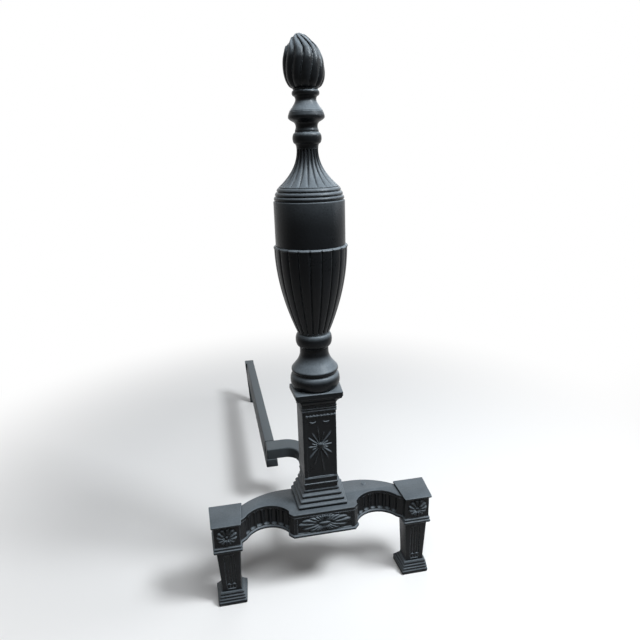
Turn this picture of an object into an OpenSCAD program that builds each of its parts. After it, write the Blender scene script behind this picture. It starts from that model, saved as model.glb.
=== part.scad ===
// Tall hearth andiron in black painted cast iron: a bridge on two pilaster legs carries a
// plinth, a square pedestal and a fluted urn with a flame finial, and a billet bar runs
// back to a rear leg. The figure is cast open at the back, and the pieces are clamped on
// one threaded rod. X runs across the hearth, Y into the fire, Z up.

/* [Bridge] */
// Height of the flat deck above the hearth
deck_z = 124; // [112:0.5:140]
// Thickness of the deck plate
deck_t = 5; // [4:0.5:7]
// Depth of the bridge front, from the deck top down
skirt_h = 35; // [30:0.5:42]
// Wall thickness of the bridge castings
wall_t = 5; // [3.5:0.5:6]
// Width of the centre block across its front
centre_w = 80; // [72:1:86]
// Front of the centre block, ahead of the column axis
centre_front = 38; // [36:0.5:41]
// Radius of the hollow front curve of each arm, in plan
arm_r = 32; // [30:0.5:34]
// Distance of the arm curve's centre from the column axis
arm_x = 73; // [71:0.5:75]
// Distance of the arm curve's centre ahead of the column axis
arm_y = 42; // [40:0.5:44]
// Back edge of the deck, behind the column axis
deck_back = 20; // [17:0.5:24]
// Radius of the rounded back corner of the deck, in plan
back_r = 91; // [85:1:100]
// Upright flutes on each arm
arm_flutes = 9; // [7:2:11]
// Radius of one upright flute
arm_flute_r = 2.6; // [1.5:0.1:2.8]
// Height of the bead along the lower edge of the bridge
bead_h = 4; // [3:0.5:6]
// Projection of that bead
bead_out = 1.2; // [0.6:0.1:1.8]

/* [Legs] */
// Distance of each leg's centre line from the column axis
leg_x = 125.3; // [123:0.1:128]
// Width of the cap plate across its front
cap_w = 37; // [35:0.5:40]
// Front edge of the cap plate, ahead of the column axis
cap_front = 43.5; // [42.5:0.5:46]
// Thickness of the cap plate
cap_t = 3; // [2:0.25:5]
// Width of the end block across its front
block_w = 32.5; // [31:0.5:34]
// Front of the end block, ahead of the column axis
block_front = 39.5; // [38:0.5:41]
// Back of the end block and cap, ahead of the column axis
block_back = 0.5; // [0:0.5:3]
// Height of one of the two necking bands
band_h = 5; // [4:0.25:6]
// Projection of the upper necking band from the block
band_out = 1; // [0.5:0.25:1.5]
// Width of the pilaster shaft at its top
shaft_top_w = 29.8; // [28.6:0.2:31]
// Width of the pilaster shaft at its foot
shaft_foot_w = 23.6; // [22:0.2:27]
// Front of the pilaster shaft, ahead of the column axis
shaft_front = 36.5; // [35.5:0.5:38]
// Back of the pilaster shaft, ahead of the column axis
shaft_back = 14; // [10:0.5:18]
// Width of the sunk panel on the shaft
panel_w = 13; // [10:0.5:15]
// Depth of the sunk panel
panel_d = 1.2; // [0.6:0.1:2]
// Width of the lowest foot step
foot_w = 37; // [36:0.5:40]
// Front of the lowest foot step, ahead of the column axis
foot_front = 38.5; // [38:0.5:41]
// Back of the foot, ahead of the column axis
foot_back = 5; // [3:0.5:8]
// Height of one of the three foot steps
step_h = 6.5; // [5:0.25:8]
// Inset of each foot step from the one below
step_in = 1.9; // [1.2:0.1:2.2]
// Inset of each foot step at the back
step_back = 2.6; // [1:0.1:3]

/* [Pedestal] */
// Half width of the plinth's lowest step
plinth_hw = 32; // [30:0.5:34]
// Inset of each plinth step from the one below
plinth_in = 3; // [2:0.1:3.2]
// Height of one of the four plinth steps
plinth_h = 6; // [5:0.25:7]
// Half width of the pedestal shaft across its front
ped_hw = 21.3; // [20.5:0.1:22.5]
// Front of the pedestal shaft, ahead of the column axis
ped_front = 21.5; // [20.5:0.5:22.5]
// Back of the pedestal and its cap, behind the column axis
ped_back = 10; // [8:0.5:13]
// Height of the pedestal shaft
ped_h = 120; // [110:1:130]
// Wall thickness of the pedestal
ped_wall = 5; // [4:0.5:6]
// Half width of the sunk panel on the pedestal
sun_hw = 16.5; // [14:0.5:17.5]
// Height of the sunk panel on the pedestal
sun_h = 86; // [70:1:92]
// Depth of the sunk panel on the pedestal
sun_d = 2; // [1.5:0.1:2.6]
// Rays of the sunburst in the panel
sun_rays = 20; // [12:4:28]
// Half width of the square cap plate
plate_hw = 29.2; // [28:0.2:31]
// Thickness of the square cap plate
plate_t = 7; // [5:0.5:9]
// Height of the moulding under the cap plate
cyma_h = 10; // [8:0.5:12]

/* [Urn] */
// Largest radius of the foot ring
torus_r = 30.8; // [29:0.1:32]
// Height of the urn foot, from the plate to the collar
urn_foot_h = 52; // [48:1:56]
// Radius of the urn's stem above the bell foot
stem_r = 17.6; // [16:0.1:19]
// Radius of the collar under the cup
collar_r = 22.2; // [21:0.1:24]
// Height of the collar under the cup
collar_h = 20; // [18:0.5:22]
// Radius of the cup at its rim
rim_r = 42.9; // [41.5:0.1:45]
// Height of the fluted cup, with its rim
cup_h = 105; // [98:1:112]
// Height of the plain lip above the flutes
rim_h = 3; // [2:0.5:5]
// Radius of the plain band above the rim
band_r = 40.4; // [39:0.1:41]
// Height of the plain band up to the first ring groove
plain_h = 50.6; // [46:0.2:56]
// Height of one rounded ring above the plain band
ring_h = 4.8; // [4:0.1:5.4]
// Height of the fluted shoulder
shoulder_h = 40; // [36:0.5:44]
// Radius of the neck at the top of the shoulder
neck_r = 12; // [11:0.1:13]
// Flutes round the cup and round the shoulder
flutes = 20; // [16:2:24]
// Width of one groove between the flutes
groove_w = 1.6; // [1:0.1:2.2]
// Depth of one groove between the flutes
groove_d = 1.4; // [0.8:0.1:2]
// Turn of the grooves from the front, in degrees
groove_turn = 2; // [-4:0.5:4]

/* [Finial] */
// Radius of the small collar above the shoulder
small_r = 16; // [15:0.1:17.5]
// Radius of the knob under the flame
knob_r = 20; // [18.5:0.1:22]
// Height of the turned neck, from the shoulder to the flame
neck_h = 60.5; // [56:0.5:64]
// Height of the flame
flame_h = 53.5; // [48:0.5:60]
// Largest radius of the flame
flame_r = 22.4; // [20.5:0.1:24]
// Lobes round the flame
flame_lobes = 7; // [5:1:9]
// Turn of the lobes from the foot of the flame to its tip, in degrees
flame_turn = 60; // [30:5:90]
// Lean of the tip to the left
flame_lean = 4; // [0:0.5:8]

/* [Billet bar] */
// Height of the log rest above the hearth
bar_z = 105; // [100:0.5:107]
// Width of the bar at its top
bar_top_w = 15.6; // [14:0.2:18]
// Width of the bar at its underside
bar_foot_w = 19; // [18.2:0.2:22]
// Depth of the bar
bar_d = 33; // [28:0.5:36]
// Front end of the bar, behind the column axis
bar_front = 157.5; // [150:0.5:170]
// Back end of the rear leg, behind the column axis
bar_back = 558.5; // [480:0.5:620]
// Distance of the bar's front end to the left of the column axis
bar_off = 49.3; // [46:0.1:54]
// Angle by which the bar runs outwards, in degrees
bar_splay = 1.4; // [0:0.1:3]
// Thickness of the arm that joins the bar to the bridge
arm_t = 18.5; // [15:0.5:20]
// Width of the arm where it leaves the bridge
arm_w = 16; // [14:0.5:18]
// Width of the arm where it meets the bar
lap_w = 28.5; // [24:0.5:32]
// Outer radius of the bend in the arm
bend_r = 36; // [32:0.5:40]
// Width of the rear leg at its top
rear_w = 19.6; // [19:0.2:24]
// Width of the rear leg on the hearth
rear_foot_w = 12.5; // [10:0.5:16]
// Thickness of the rear leg at its top, front to back
rear_t = 18; // [14:0.5:22]
// Thickness of the rear leg on the hearth, front to back
rear_foot_t = 9; // [7:0.5:14]
// Radius of the pin that locks the arm to the bar
pin_r = 4; // [3:0.25:5]
// Iron left over the pin in the arm
pin_cover = 5; // [4:0.5:7]

/* [Clamp rod] */
// Radius of the threaded rod
rod_r = 4; // [3:0.25:5]
// Radial clearance round the rod and the pin
clear = 0.2; // [0.1:0.05:0.4]
// Depth of the rod in the flame
rod_in = 18; // [12:1:24]
// Radius of the boss, the arm's eye and the seats round the rod
boss_r = 12; // [10.5:0.25:14]
// Width of the nut across its flats
nut_af = 13; // [12:0.5:17]
// Height of the nut
nut_h = 6.5; // [5:0.5:9]
// Radius of the washer
washer_r = 9; // [8.5:0.25:11]
// Thickness of the washer
washer_t = 1.6; // [1:0.2:3]
// Length of rod below the nut
rod_out = 3; // [2:0.5:6]

/* [Hidden] */
$fn = 64;
iron = [0.16, 0.17, 0.18];
iron_light = [0.24, 0.25, 0.27];
steel = [0.45, 0.45, 0.46];
// Draft angle of the castings: every side face opens towards the back
draft = 3.8;
// The part stands with its box centred on the origin
mid_y = (bar_back - cap_front) / 2;
deck_end = block_side(block_back + 3);
skirt_z = deck_z - skirt_h;
wall_h = skirt_h - deck_t;
hole_r = rod_r + clear;
// Plane that cuts the turned pieces open at the back
open_y = min(ped_back, neck_r - 1);
// Half angle that the arm's curve covers, and the corners it leaves
arm_half = 61;
corner_x = arm_x - arm_r * sin(arm_half);
corner_y = arm_r * cos(arm_half) - arm_y;
side_x = corner_x + 1.5 - (centre_front + corner_y) * 0.1;
block_in = block_side(5.5 - corner_y);
shaft_z = 3 * step_h;
band_z = skirt_z + bead_h + 1 - 2 * band_h;
block_z = band_z + 2 * band_h;
plinth_z = deck_z;
ped_z = plinth_z + 4 * plinth_h;
cap_z = ped_z + ped_h;
plate_z = cap_z + cyma_h;
urn_z = plate_z + plate_t;
collar_z = urn_z + urn_foot_h;
cup_z = collar_z + collar_h;
band_low = cup_z + cup_h;
ring_z = band_low + plain_h;
shoulder_z = ring_z + 3 * ring_h;
neck_z = shoulder_z + shoulder_h;
flame_z = neck_z + neck_h;
arm_low = bar_z - arm_t;
bar_low = bar_z - bar_d;
rod_low = arm_low - washer_t - nut_h - rod_out;
rod_top = flame_z + rod_in;
cut = 0.01;

module place() {
    translate([0, -mid_y, 0])
        children();
}

// Inner side of the right end block, at a distance ahead of the column axis
function block_side(ahead) =
    leg_x - block_w / 2 - (block_front - max(ahead, block_back)) * tan(draft);

// Plan of a drafted block: narrow in front, wider at the open back
function wedge(hw, front, back) =
    let (out = hw + (front + back) * tan(draft))
    [[-hw, -front], [hw, -front], [out, back], [-out, back]];

module slab(hw, front, back, z, h) {
    translate([0, 0, z])
        linear_extrude(h)
            polygon(wedge(hw, front, back));
}

module rod_hole(z, h) {
    translate([0, 0, z - cut])
        cylinder(r = hole_r, h = h + 2 * cut);
}

// One petal of a carved fan, lying on a front face and pointing along +X
function petal_points(near, far, w) =
    [[near, -w * 0.2], [near + (far - near) * 0.55, -w * 0.46], [far - w * 0.4, -w * 0.5],
     [far - w * 0.08, -w * 0.3], [far, 0], [far - w * 0.08, w * 0.3], [far - w * 0.4, w * 0.5],
     [near + (far - near) * 0.55, w * 0.46], [near, w * 0.2]];

module petal(near, far, w, t) {
    rotate([90, 0, 0])
        linear_extrude(t)
            polygon(petal_points(near, far, w));
}

// Reach of an ellipse at an angle
function oval(a, rx, rz) = rx * rz / sqrt(pow(rz * cos(a), 2) + pow(rx * sin(a), 2));

// Reach of a rectangle at an angle
function frame(a, rx, rz) =
    min(rx / max(abs(cos(a)), 0.001), rz / max(abs(sin(a)), 0.001));

// Plan of the deck, right half from the centre to the end block
function deck_half() = concat(
    [[centre_w / 2, -centre_front], [side_x, (corner_y - centre_front) / 2]],
    [for (i = [0 : 12])
        let (a = 90 + arm_half - i * arm_half / 6)
        [arm_x + arm_r * cos(a), arm_r * sin(a) - arm_y]],
    [[block_in, corner_y - 5.5], [deck_end, back_edge(deck_end)]],
    [for (i = [1 : 7])
        let (x = deck_end + (plinth_hw + 4 - deck_end) * i / 7) [x, back_edge(x)]]);

// Back edge of the deck: straight behind the plinth, then rounding forwards
function back_edge(x) = deck_back - back_r
    + sqrt(back_r * back_r - pow(max(x - plinth_hw - 14, 0), 2));

function flip(p) = [for (i = [len(p) - 1 : -1 : 0]) [-p[i][0], p[i][1]]];

module deck() {
    color(iron_light)
        place()
            difference() {
                union() {
                    translate([0, 0, deck_z - deck_t])
                        linear_extrude(deck_t)
                            polygon(concat(deck_half(), flip(deck_half())));
                    translate([0, 0, bar_z])
                        cylinder(r = boss_r, h = deck_z - bar_z - cut);
                }
                rod_hole(bar_z, deck_z - bar_z);
            }
}

module centre_block() {
    inner = centre_w / 2 - wall_t;
    color(iron)
        place() {
            translate([0, 0, skirt_z])
                linear_extrude(wall_h)
                    polygon([[-centre_w / 2, -centre_front], [centre_w / 2, -centre_front],
                        [side_x, (corner_y - centre_front) / 2], [corner_x, corner_y],
                        [corner_x - wall_t, corner_y], [inner, wall_t - centre_front],
                        [-inner, wall_t - centre_front], [wall_t - corner_x, corner_y],
                        [-corner_x, corner_y], [-side_x, (corner_y - centre_front) / 2]]);
            translate([-centre_w / 2, -centre_front - bead_out, skirt_z])
                cube([centre_w, bead_out, bead_h]);
        }
}

// Wide fan of petals round a small half-round hub
module centre_rosette() {
    rx = centre_w / 2 - 6;
    low = skirt_z + bead_h + 1;
    mid = (low + deck_z - 2) / 2;
    rz = (deck_z - 2 - low) / 2;
    color(iron_light)
        place()
            translate([0, -centre_front, mid]) {
                for (i = [0 : 23])
                    rotate([0, i * 15, 0])
                        petal(8, oval(i * 15, rx, rz), oval(i * 15, rx, rz) * 0.11 + 1, 1.8);
                rotate([90, 0, 0])
                    cylinder(r = 8.1, h = 1.2);
                rotate([90, 0, 0])
                    cylinder(r = 5, h = 2.4);
            }
}

module ring_sector(r1, r2, z, h) {
    translate([arm_x, -arm_y, z])
        linear_extrude(h)
            intersection() {
                difference() {
                    circle(r = r2);
                    circle(r = r1);
                }
                polygon([[0, 0], [60 * cos(90 - arm_half), 60 * sin(90 - arm_half)], [0, 90],
                    [60 * cos(90 + arm_half), 60 * sin(90 + arm_half)]]);
            }
}

// Point on the arm's curve, by its radius and its angle from straight back
function arc_point(r, a) = [arm_x + r * sin(a), r * cos(a) - arm_y];

// Curved wall of one arm with its upright flutes and lower bead
module arm() {
    union() {
        difference() {
            ring_sector(arm_r, arm_r + wall_t, skirt_z, wall_h);
            for (i = [0 : arm_flutes - 1])
                rotate_about(90 + (i - (arm_flutes - 1) / 2) * 2 * arm_half / (arm_flutes + 1))
                    translate([arm_r - arm_flute_r * 0.45, 0, skirt_z + bead_h + 1.5])
                        cylinder(r = arm_flute_r, h = wall_h);
        }
        ring_sector(arm_r - bead_out, arm_r + cut, skirt_z, bead_h);
        // Short straight piece that closes the arm against the end block
        translate([0, 0, skirt_z])
            linear_extrude(wall_h)
                polygon([arc_point(arm_r + 0.2, arm_half), [block_in, corner_y - 5.5],
                    [block_side(-corner_y - wall_t), corner_y + wall_t],
                    arc_point(arm_r + wall_t, arm_half),
                    arc_point(arm_r + wall_t / 2, arm_half - 3)]);
    }
}

module rotate_about(a) {
    translate([arm_x, -arm_y, 0])
        rotate([0, 0, a])
            children();
}

module right_arm() {
    color(iron)
        place()
            arm();
}

module left_arm() {
    color(iron)
        place()
            mirror([1, 0, 0])
                arm();
}

// End block: a box with an open back
module block() {
    translate([leg_x, 0, 0])
        difference() {
            slab(block_w / 2, block_front, -block_back, block_z, deck_z - block_z);
            slab(block_w / 2 - wall_t, block_front - wall_t, 5, block_z - cut,
                deck_z - block_z - deck_t);
        }
}

module right_block() {
    color(iron)
        place()
            block();
}

module left_block() {
    color(iron)
        place()
            mirror([1, 0, 0])
                block();
}

// Round fan on the end block; its hub sits low, so the upper petals are longer
module rosette() {
    drop = 2;
    r = min(block_w, deck_z - block_z) / 2 - 2.6;
    translate([leg_x, -block_front, (deck_z + block_z) / 2 - drop]) {
        for (i = [0 : 12]) {
            a = -90 + i * 360 / 13;
            far = -drop * sin(a) + sqrt(r * r - pow(drop * cos(a), 2));
            rotate([0, a, 0])
                petal(3, far, far * 0.36, 1.7);
        }
        rotate([90, 0, 0])
            cylinder(r = 3.4, h = 1.2);
    }
}

module right_rosette() {
    color(iron_light)
        place()
            rosette();
}

module left_rosette() {
    color(iron_light)
        place()
            mirror([1, 0, 0])
                rosette();
}

module cap() {
    translate([leg_x, 0, 0])
        slab(cap_w / 2, cap_front, -block_back, deck_z, cap_t);
}

module right_cap() {
    color(iron_light)
        place()
            cap();
}

module left_cap() {
    color(iron_light)
        place()
            mirror([1, 0, 0])
                cap();
}

// Two projecting bands, the lower one wider, with a sunk line between them
module necking() {
    groove = 0.8;
    translate([leg_x, 0, 0]) {
        slab(block_w / 2 + 2 * band_out, block_front + 2 * band_out, -block_back, band_z,
            band_h - groove);
        slab(block_w / 2, block_front, -block_back, band_z + band_h - groove, groove);
        slab(block_w / 2 + band_out, block_front + band_out, -block_back, band_z + band_h,
            band_h);
    }
}

module right_necking() {
    color(iron)
        place()
            necking();
}

module left_necking() {
    color(iron)
        place()
            mirror([1, 0, 0])
                necking();
}

// Tapered pilaster with a sunk front panel and an open back channel
module leg() {
    h = band_z - shaft_z;
    top = shaft_top_w / 2;
    low = shaft_foot_w / 2;
    translate([leg_x, 0, shaft_z])
        difference() {
            intersection() {
                slab(top, shaft_front, -shaft_back, 0, h);
                rotate([90, 0, 0])
                    linear_extrude(2 * shaft_front, center = true)
                        polygon([[-low - 1.4, 0], [low + 1.4, 0], [top + 1.4, h],
                            [-top - 1.4, h]]);
                rotate([90, 0, 90])
                    linear_extrude(2 * shaft_top_w, center = true)
                        polygon([[-shaft_front + top - low, 0], [0, 0], [0, h],
                            [-shaft_front, h]]);
            }
            // Sunk panel, parallel to the sloping front
            rotate([atan((top - low) / h), 0, 0])
                translate([-panel_w / 2, -shaft_front - 10 + panel_d + top - low, 6])
                    cube([panel_w, 10, h - 14]);
            // Channel up the back
            translate([wall_t - low, 2 * wall_t - shaft_front, -cut])
                cube([2 * (low - wall_t), shaft_front, h + 2 * cut]);
        }
}

module right_leg() {
    color(iron)
        place()
            leg();
}

module left_leg() {
    color(iron)
        place()
            mirror([1, 0, 0])
                leg();
}

module foot() {
    translate([leg_x, 0, 0])
        for (i = [0 : 2])
            slab(foot_w / 2 - i * step_in, foot_front - i * step_in / 2,
                -foot_back - i * step_back, i * step_h, step_h);
}

module right_foot() {
    color(iron)
        place()
            foot();
}

module left_foot() {
    color(iron)
        place()
            mirror([1, 0, 0])
                foot();
}

// Four stepped courses with small sunk lines, open at the back
module plinth() {
    line = 1;
    color(iron)
        place()
            difference() {
                for (i = [0 : 3]) {
                    hw = plinth_hw - i * plinth_in;
                    slab(hw, hw - 1.5, deck_back - i * plinth_in / 2, plinth_z + i * plinth_h,
                        plinth_h - line);
                    slab(hw - 1, hw - 2.5, deck_back - i * plinth_in / 2,
                        plinth_z + (i + 1) * plinth_h - line, line);
                }
                slab(ped_hw - ped_wall, ped_front - ped_wall, deck_back + 5, plinth_z + 5,
                    4 * plinth_h);
                rod_hole(plinth_z, 5);
            }
}

// Square shaft with a sunk front panel, sunk side panels and an open back
module pedestal() {
    sun_z = ped_z + (ped_h - sun_h) / 2;
    color(iron)
        place()
            difference() {
                union() {
                    slab(ped_hw, ped_front, ped_back, ped_z, ped_h);
                    slab(ped_hw + 0.8, ped_front + 0.8, ped_back, ped_z + 6, 2);
                    slab(ped_hw + 0.8, ped_front + 0.8, ped_back, cap_z - 6, 1.5);
                    slab(ped_hw + 0.8, ped_front + 0.8, ped_back, cap_z - 10, 1.5);
                }
                slab(ped_hw - ped_wall, ped_front - ped_wall, ped_back + 5, ped_z - cut,
                    ped_h + 2 * cut);
                translate([-sun_hw, -ped_front - 2, sun_z])
                    cube([2 * sun_hw, 2 + sun_d, sun_h]);
            }
}

// Long sunburst: rays run to the frame from a round boss, with two small swags above
module sunburst_panel() {
    sun_z = ped_z + (ped_h - sun_h) / 2;
    mid = sun_z + sun_h / 2;
    face = sun_d * 0.45;
    color(iron_light)
        place() {
            translate([-sun_hw, -ped_front + sun_d - face, sun_z])
                cube([2 * sun_hw, face, sun_h]);
            translate([0, -ped_front + sun_d - face, mid]) {
                for (i = [0 : sun_rays - 1]) {
                    a = (i + 0.5) * 360 / sun_rays;
                    reach = frame(a, sun_hw - 1, sun_h / 2 - 12);
                    rotate([0, a, 0])
                        petal(4.6, reach, 2 + reach * 0.04, sun_d - face - 0.2);
                }
                rotate([90, 0, 0])
                    cylinder(r = 5, h = sun_d - face);
            }
            for (s = [-1, 1])
                translate([s * sun_hw / 2, -ped_front + sun_d - face, sun_z + sun_h - 7])
                    rotate([90, 0, 0])
                        linear_extrude(sun_d - face)
                            intersection() {
                                difference() {
                                    circle(r = 5);
                                    translate([0, 2])
                                        circle(r = 4);
                                }
                                translate([-6, -6])
                                    square([12, 6]);
                            }
        }
}

// Square plate over a curved moulding
module pedestal_cap() {
    grow = plate_hw - ped_hw;
    steps = [[0, 0.08], [0.25, 0.2], [0.55, 0.5], [0.8, 0.86], [1, 0.93]];
    color(iron)
        place()
            difference() {
                union() {
                    for (i = [0 : 3])
                        hull() {
                            slab(ped_hw + grow * steps[i][1], ped_front + grow * steps[i][1],
                                ped_back, cap_z + cyma_h * steps[i][0], cut);
                            slab(ped_hw + grow * steps[i + 1][1],
                                ped_front + grow * steps[i + 1][1], ped_back,
                                cap_z + cyma_h * steps[i + 1][0] - cut, cut);
                        }
                    slab(plate_hw, ped_front + grow, ped_back, plate_z, plate_t);
                }
                rod_hole(cap_z, cyma_h + plate_t);
                slab(ped_hw - ped_wall, ped_front - ped_wall, ped_back + 5, cap_z - cut,
                    cyma_h - 3);
            }
}

// Turned shell with an open back: profile is [radius, height] outside and inside
module turned(outer, inner, z) {
    low = outer[0][1];
    top = outer[len(outer) - 1][1];
    difference() {
        translate([0, 0, z])
            rotate_extrude()
                polygon(concat([[0, low]], outer, [[0, top]]));
        translate([0, 0, z])
            rotate_extrude()
                polygon(concat([[0, low - 1]], [[inner[0][0], low - 1]], inner,
                    [[inner[len(inner) - 1][0], top + 1], [0, top + 1]]));
        translate([-80, open_y, z + low - 1])
            cube([160, 80, top - low + 2]);
    }
}

// Half round of a ring between two heights
function bulge(r, depth, z1, z2, n) =
    [for (i = [0 : n]) let (a = -80 + 160 * i / n)
        [r - depth + depth * cos(a), (z1 + z2) / 2 + (z2 - z1) / 2 * sin(a) / sin(80)]];

module urn_foot() {
    k = urn_foot_h / 52;
    lip = torus_r - 1.9;
    color(iron)
        place()
            turned(concat([[torus_r - 4.6, 0]], bulge(torus_r, 4.2, 0.6, 18.6 * k, 8),
                    [[lip - 1.4, 19.4 * k], [lip - 1.4, 21.4 * k], [lip, 22.4 * k],
                     [lip - 0.2, 25 * k], [lip - 2.4, 27.4 * k], [lip - 5, 31 * k],
                     [lip - 8, 35 * k], [stem_r + 1, 40.2 * k], [stem_r, 45.4 * k],
                     [stem_r, 52 * k]]),
                [[20, 0], [23, 12 * k], [21, 24 * k], [14.5, 34 * k], [stem_r - 6.5, 42 * k],
                 [stem_r - 6.5, 52 * k]], urn_z);
}

module urn_collar() {
    color(iron)
        place()
            turned(concat([[stem_r + 0.4, 0]], bulge(collar_r, 3.6, 0.8, collar_h - 1.6, 8),
                    [[collar_r - 3, collar_h]]),
                [[stem_r - 6.5, 0], [14, collar_h / 2], [13, collar_h]], collar_z);
}

// Profile of the fluted cup, from the collar to the rim
function cup_outer() =
    let (r0 = collar_r - 2.4, h = cup_h - rim_h)
    [for (i = [0 : 12]) let (t = i / 12)
        [r0 + (rim_r - 0.6 - r0) * (1 - pow(1 - t, 1.9)), h * t]];

function cup_inner() =
    let (h = cup_h - rim_h)
    [[13, 0], [17, 8], [22, h * 0.25], [27, h * 0.42], [31, h * 0.62], [33, h * 0.9],
     [33, cup_h]];

// Loop of points round a fluted piece: from the left end of its flat back, round the
// front, to the right end, with a groove cut at each angle in the list
function flute_loop(r, z, depth, angles) =
    let (end = acos(open_y / r), half = groove_w / r * 90 / PI)
    concat([[-r * sin(end), open_y, z]],
        [for (a = angles)
            each [[r * cos(a - half), r * sin(a - half), z],
                  [(r - depth) * cos(a), (r - depth) * sin(a), z],
                  [r * cos(a + half), r * sin(a + half), z],
                  [r * cos(a + 180 / flutes), r * sin(a + 180 / flutes), z]]],
        [[r * sin(end), open_y, z]]);

// Angles of the grooves that fit between the two ends of the flat back
function groove_angles(r) =
    [for (i = [-flutes : flutes])
        let (off = (i + 0.5) * 360 / flutes - groove_turn)
            if (abs(off) + 180 / flutes + 1 < 180 - acos(open_y / r)) off - 90];

// Triangles that join stacked loops of n points, with flat ends
function stack_faces(n, m) = concat(
    [[for (i = [0 : n - 1]) i]],
    [for (j = [0 : m - 1], i = [0 : n - 1])
        each [[j * n + i, (j + 1) * n + i, (j + 1) * n + (i + 1) % n],
              [j * n + i, (j + 1) * n + (i + 1) % n, j * n + (i + 1) % n]]],
    [[for (i = [n - 1 : -1 : 0]) m * n + i]]);

// Solid of loops: profile is [radius, height, groove depth] at each level
module fluted(profile, z) {
    angles = groove_angles(max([for (p = profile) p[0]]));
    loops = [for (p = profile) flute_loop(p[0], p[1], p[2], angles)];
    translate([0, 0, z])
        polyhedron(points = [for (loop = loops) each loop],
            faces = stack_faces(len(loops[0]), len(loops) - 1));
}

// Fluted cup, hollow from end to end
module urn_cup() {
    h = cup_h - rim_h;
    color(iron)
        place()
            difference() {
                fluted(concat([for (p = cup_outer()) [p[0], p[1], p[1] > 2 ? groove_d : 0]],
                    [[rim_r, h + 0.4, 0], [rim_r, cup_h - 0.8, 0],
                     [rim_r - 0.8, cup_h, 0]]), cup_z);
                translate([0, 0, cup_z])
                    rotate_extrude()
                        polygon(concat([[0, -1], [13, -1]], cup_inner(),
                            [[33, cup_h + 1], [0, cup_h + 1]]));
            }
}

// Plain band with three rounded rings at its top
module urn_band() {
    rings = [for (i = [0 : 2])
        each bulge([band_r - 0.3, band_r - 1.4, band_r - 3][i], 1.1,
            plain_h + i * ring_h, plain_h + (i + 1) * ring_h, 6)];
    color(iron)
        place()
            turned(concat([[band_r, 0], [band_r, plain_h - 1.2], [band_r - 1.2, plain_h - 0.4]],
                    rings, [[band_r - 5.6, plain_h + 3 * ring_h]]),
                [[33, 0], [33, plain_h], [28, plain_h + 2 * ring_h],
                 [25, plain_h + 3 * ring_h]], band_low);
}

function shoulder_outer() =
    let (r0 = band_r - 5.6)
    [for (i = [0 : 10]) let (t = i / 10)
        [neck_r + (r0 - neck_r) * pow(1 - t, 2.15), shoulder_h * t]];

// Solid fluted casting that closes the top of the hollow urn
module urn_shoulder() {
    color(iron)
        place()
            difference() {
                fluted([for (p = shoulder_outer())
                    [p[0], p[1], groove_d * (1 - 0.6 * p[1] / shoulder_h)]], shoulder_z);
                rod_hole(shoulder_z, shoulder_h);
            }
}

// Solid turned neck: small collar, ridged knob and the ring under the flame
module finial_neck() {
    k = neck_h / 60.5;
    color(iron)
        place()
            difference() {
                translate([0, 0, neck_z])
                    rotate_extrude()
                        polygon([[0, 0], [neck_r, 0], [neck_r + 0.8, 5 * k],
                            [small_r - 1.8, 6.8 * k], [small_r - 0.4, 8.6 * k],
                            [small_r, 11 * k], [small_r - 0.9, 14.4 * k],
                            [small_r - 2.2, 16.4 * k], [small_r - 2.9, 19.2 * k],
                            [neck_r, 23.2 * k], [neck_r + 0.4, 25 * k],
                            [neck_r + 1.8, 27 * k], [knob_r - 3, 29 * k],
                            [knob_r - 0.3, 31 * k], [knob_r, 33 * k],
                            [knob_r - 1.3, 37 * k], [knob_r - 1.8, 38.6 * k],
                            [knob_r - 3.4, 40.4 * k], [knob_r - 7, 45 * k],
                            [neck_r - 0.7, 49 * k], [neck_r - 0.4, 51.4 * k],
                            [neck_r + 0.6, 53.4 * k], [neck_r + 2.4, 55.4 * k],
                            [neck_r + 2.9, 57.6 * k], [neck_r + 2.4, 60 * k],
                            [neck_r + 1.8, 60.5 * k], [0, 60.5 * k]]);
                rod_hole(neck_z, neck_h);
            }
}

// Flame: rings of points whose lobes turn and lean as they rise
function flame_body(t) =
    t < 0.39 ? 0.66 + 0.34 * sin(t / 0.39 * 90)
    : pow(cos((t - 0.39) / 0.61 * 89), 0.66);

function flame_ring(t, n) =
    let (r = flame_r * flame_body(t), lean = flame_lean * pow(t, 2.5),
        depth = 0.13 * min(1, t * 6) * (1 - t * 0.35))
    [for (i = [0 : n - 1])
        let (a = i * 360 / n, rr = r * (1 - depth + depth
            * abs(cos(flame_lobes / 2 * (a + flame_turn * t * t)))))
        [rr * cos(a) - lean, rr * sin(a), flame_h * t]];

module flame() {
    n = 42;
    m = 22;
    rings = [for (j = [0 : m]) flame_ring(sin(j / m * 90), n)];
    color(iron_light)
        place()
            difference() {
                translate([0, 0, flame_z])
                    polyhedron(points = [for (ring = rings) each ring],
                        faces = stack_faces(n, m));
                rod_hole(flame_z - 1, rod_in + 1 + clear);
            }
}

module tie_rod() {
    color(steel)
        place()
            translate([0, 0, rod_low])
                cylinder(r = rod_r, h = rod_top - rod_low);
}

module rod_nut() {
    color(steel)
        place()
            difference() {
                translate([0, 0, arm_low - washer_t - nut_h])
                    cylinder(r = nut_af / 2 / cos(30), h = nut_h, $fn = 6);
                rod_hole(arm_low - washer_t - nut_h, nut_h);
            }
}

module rod_washer() {
    color(steel)
        place()
            difference() {
                translate([0, 0, arm_low - washer_t])
                    cylinder(r = washer_r, h = washer_t);
                rod_hole(arm_low - washer_t, washer_t);
            }
}

// Plan of the arm's far and near edges: straight back from the rod, then round to the left
function bend(cx, cy, r, n) =
    [for (i = [0 : n]) let (a = 90 * i / n) [cx + r * cos(a), cy + r * sin(a)]];

function backwards(p) = [for (i = [len(p) - 1 : -1 : 0]) p[i]];

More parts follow.
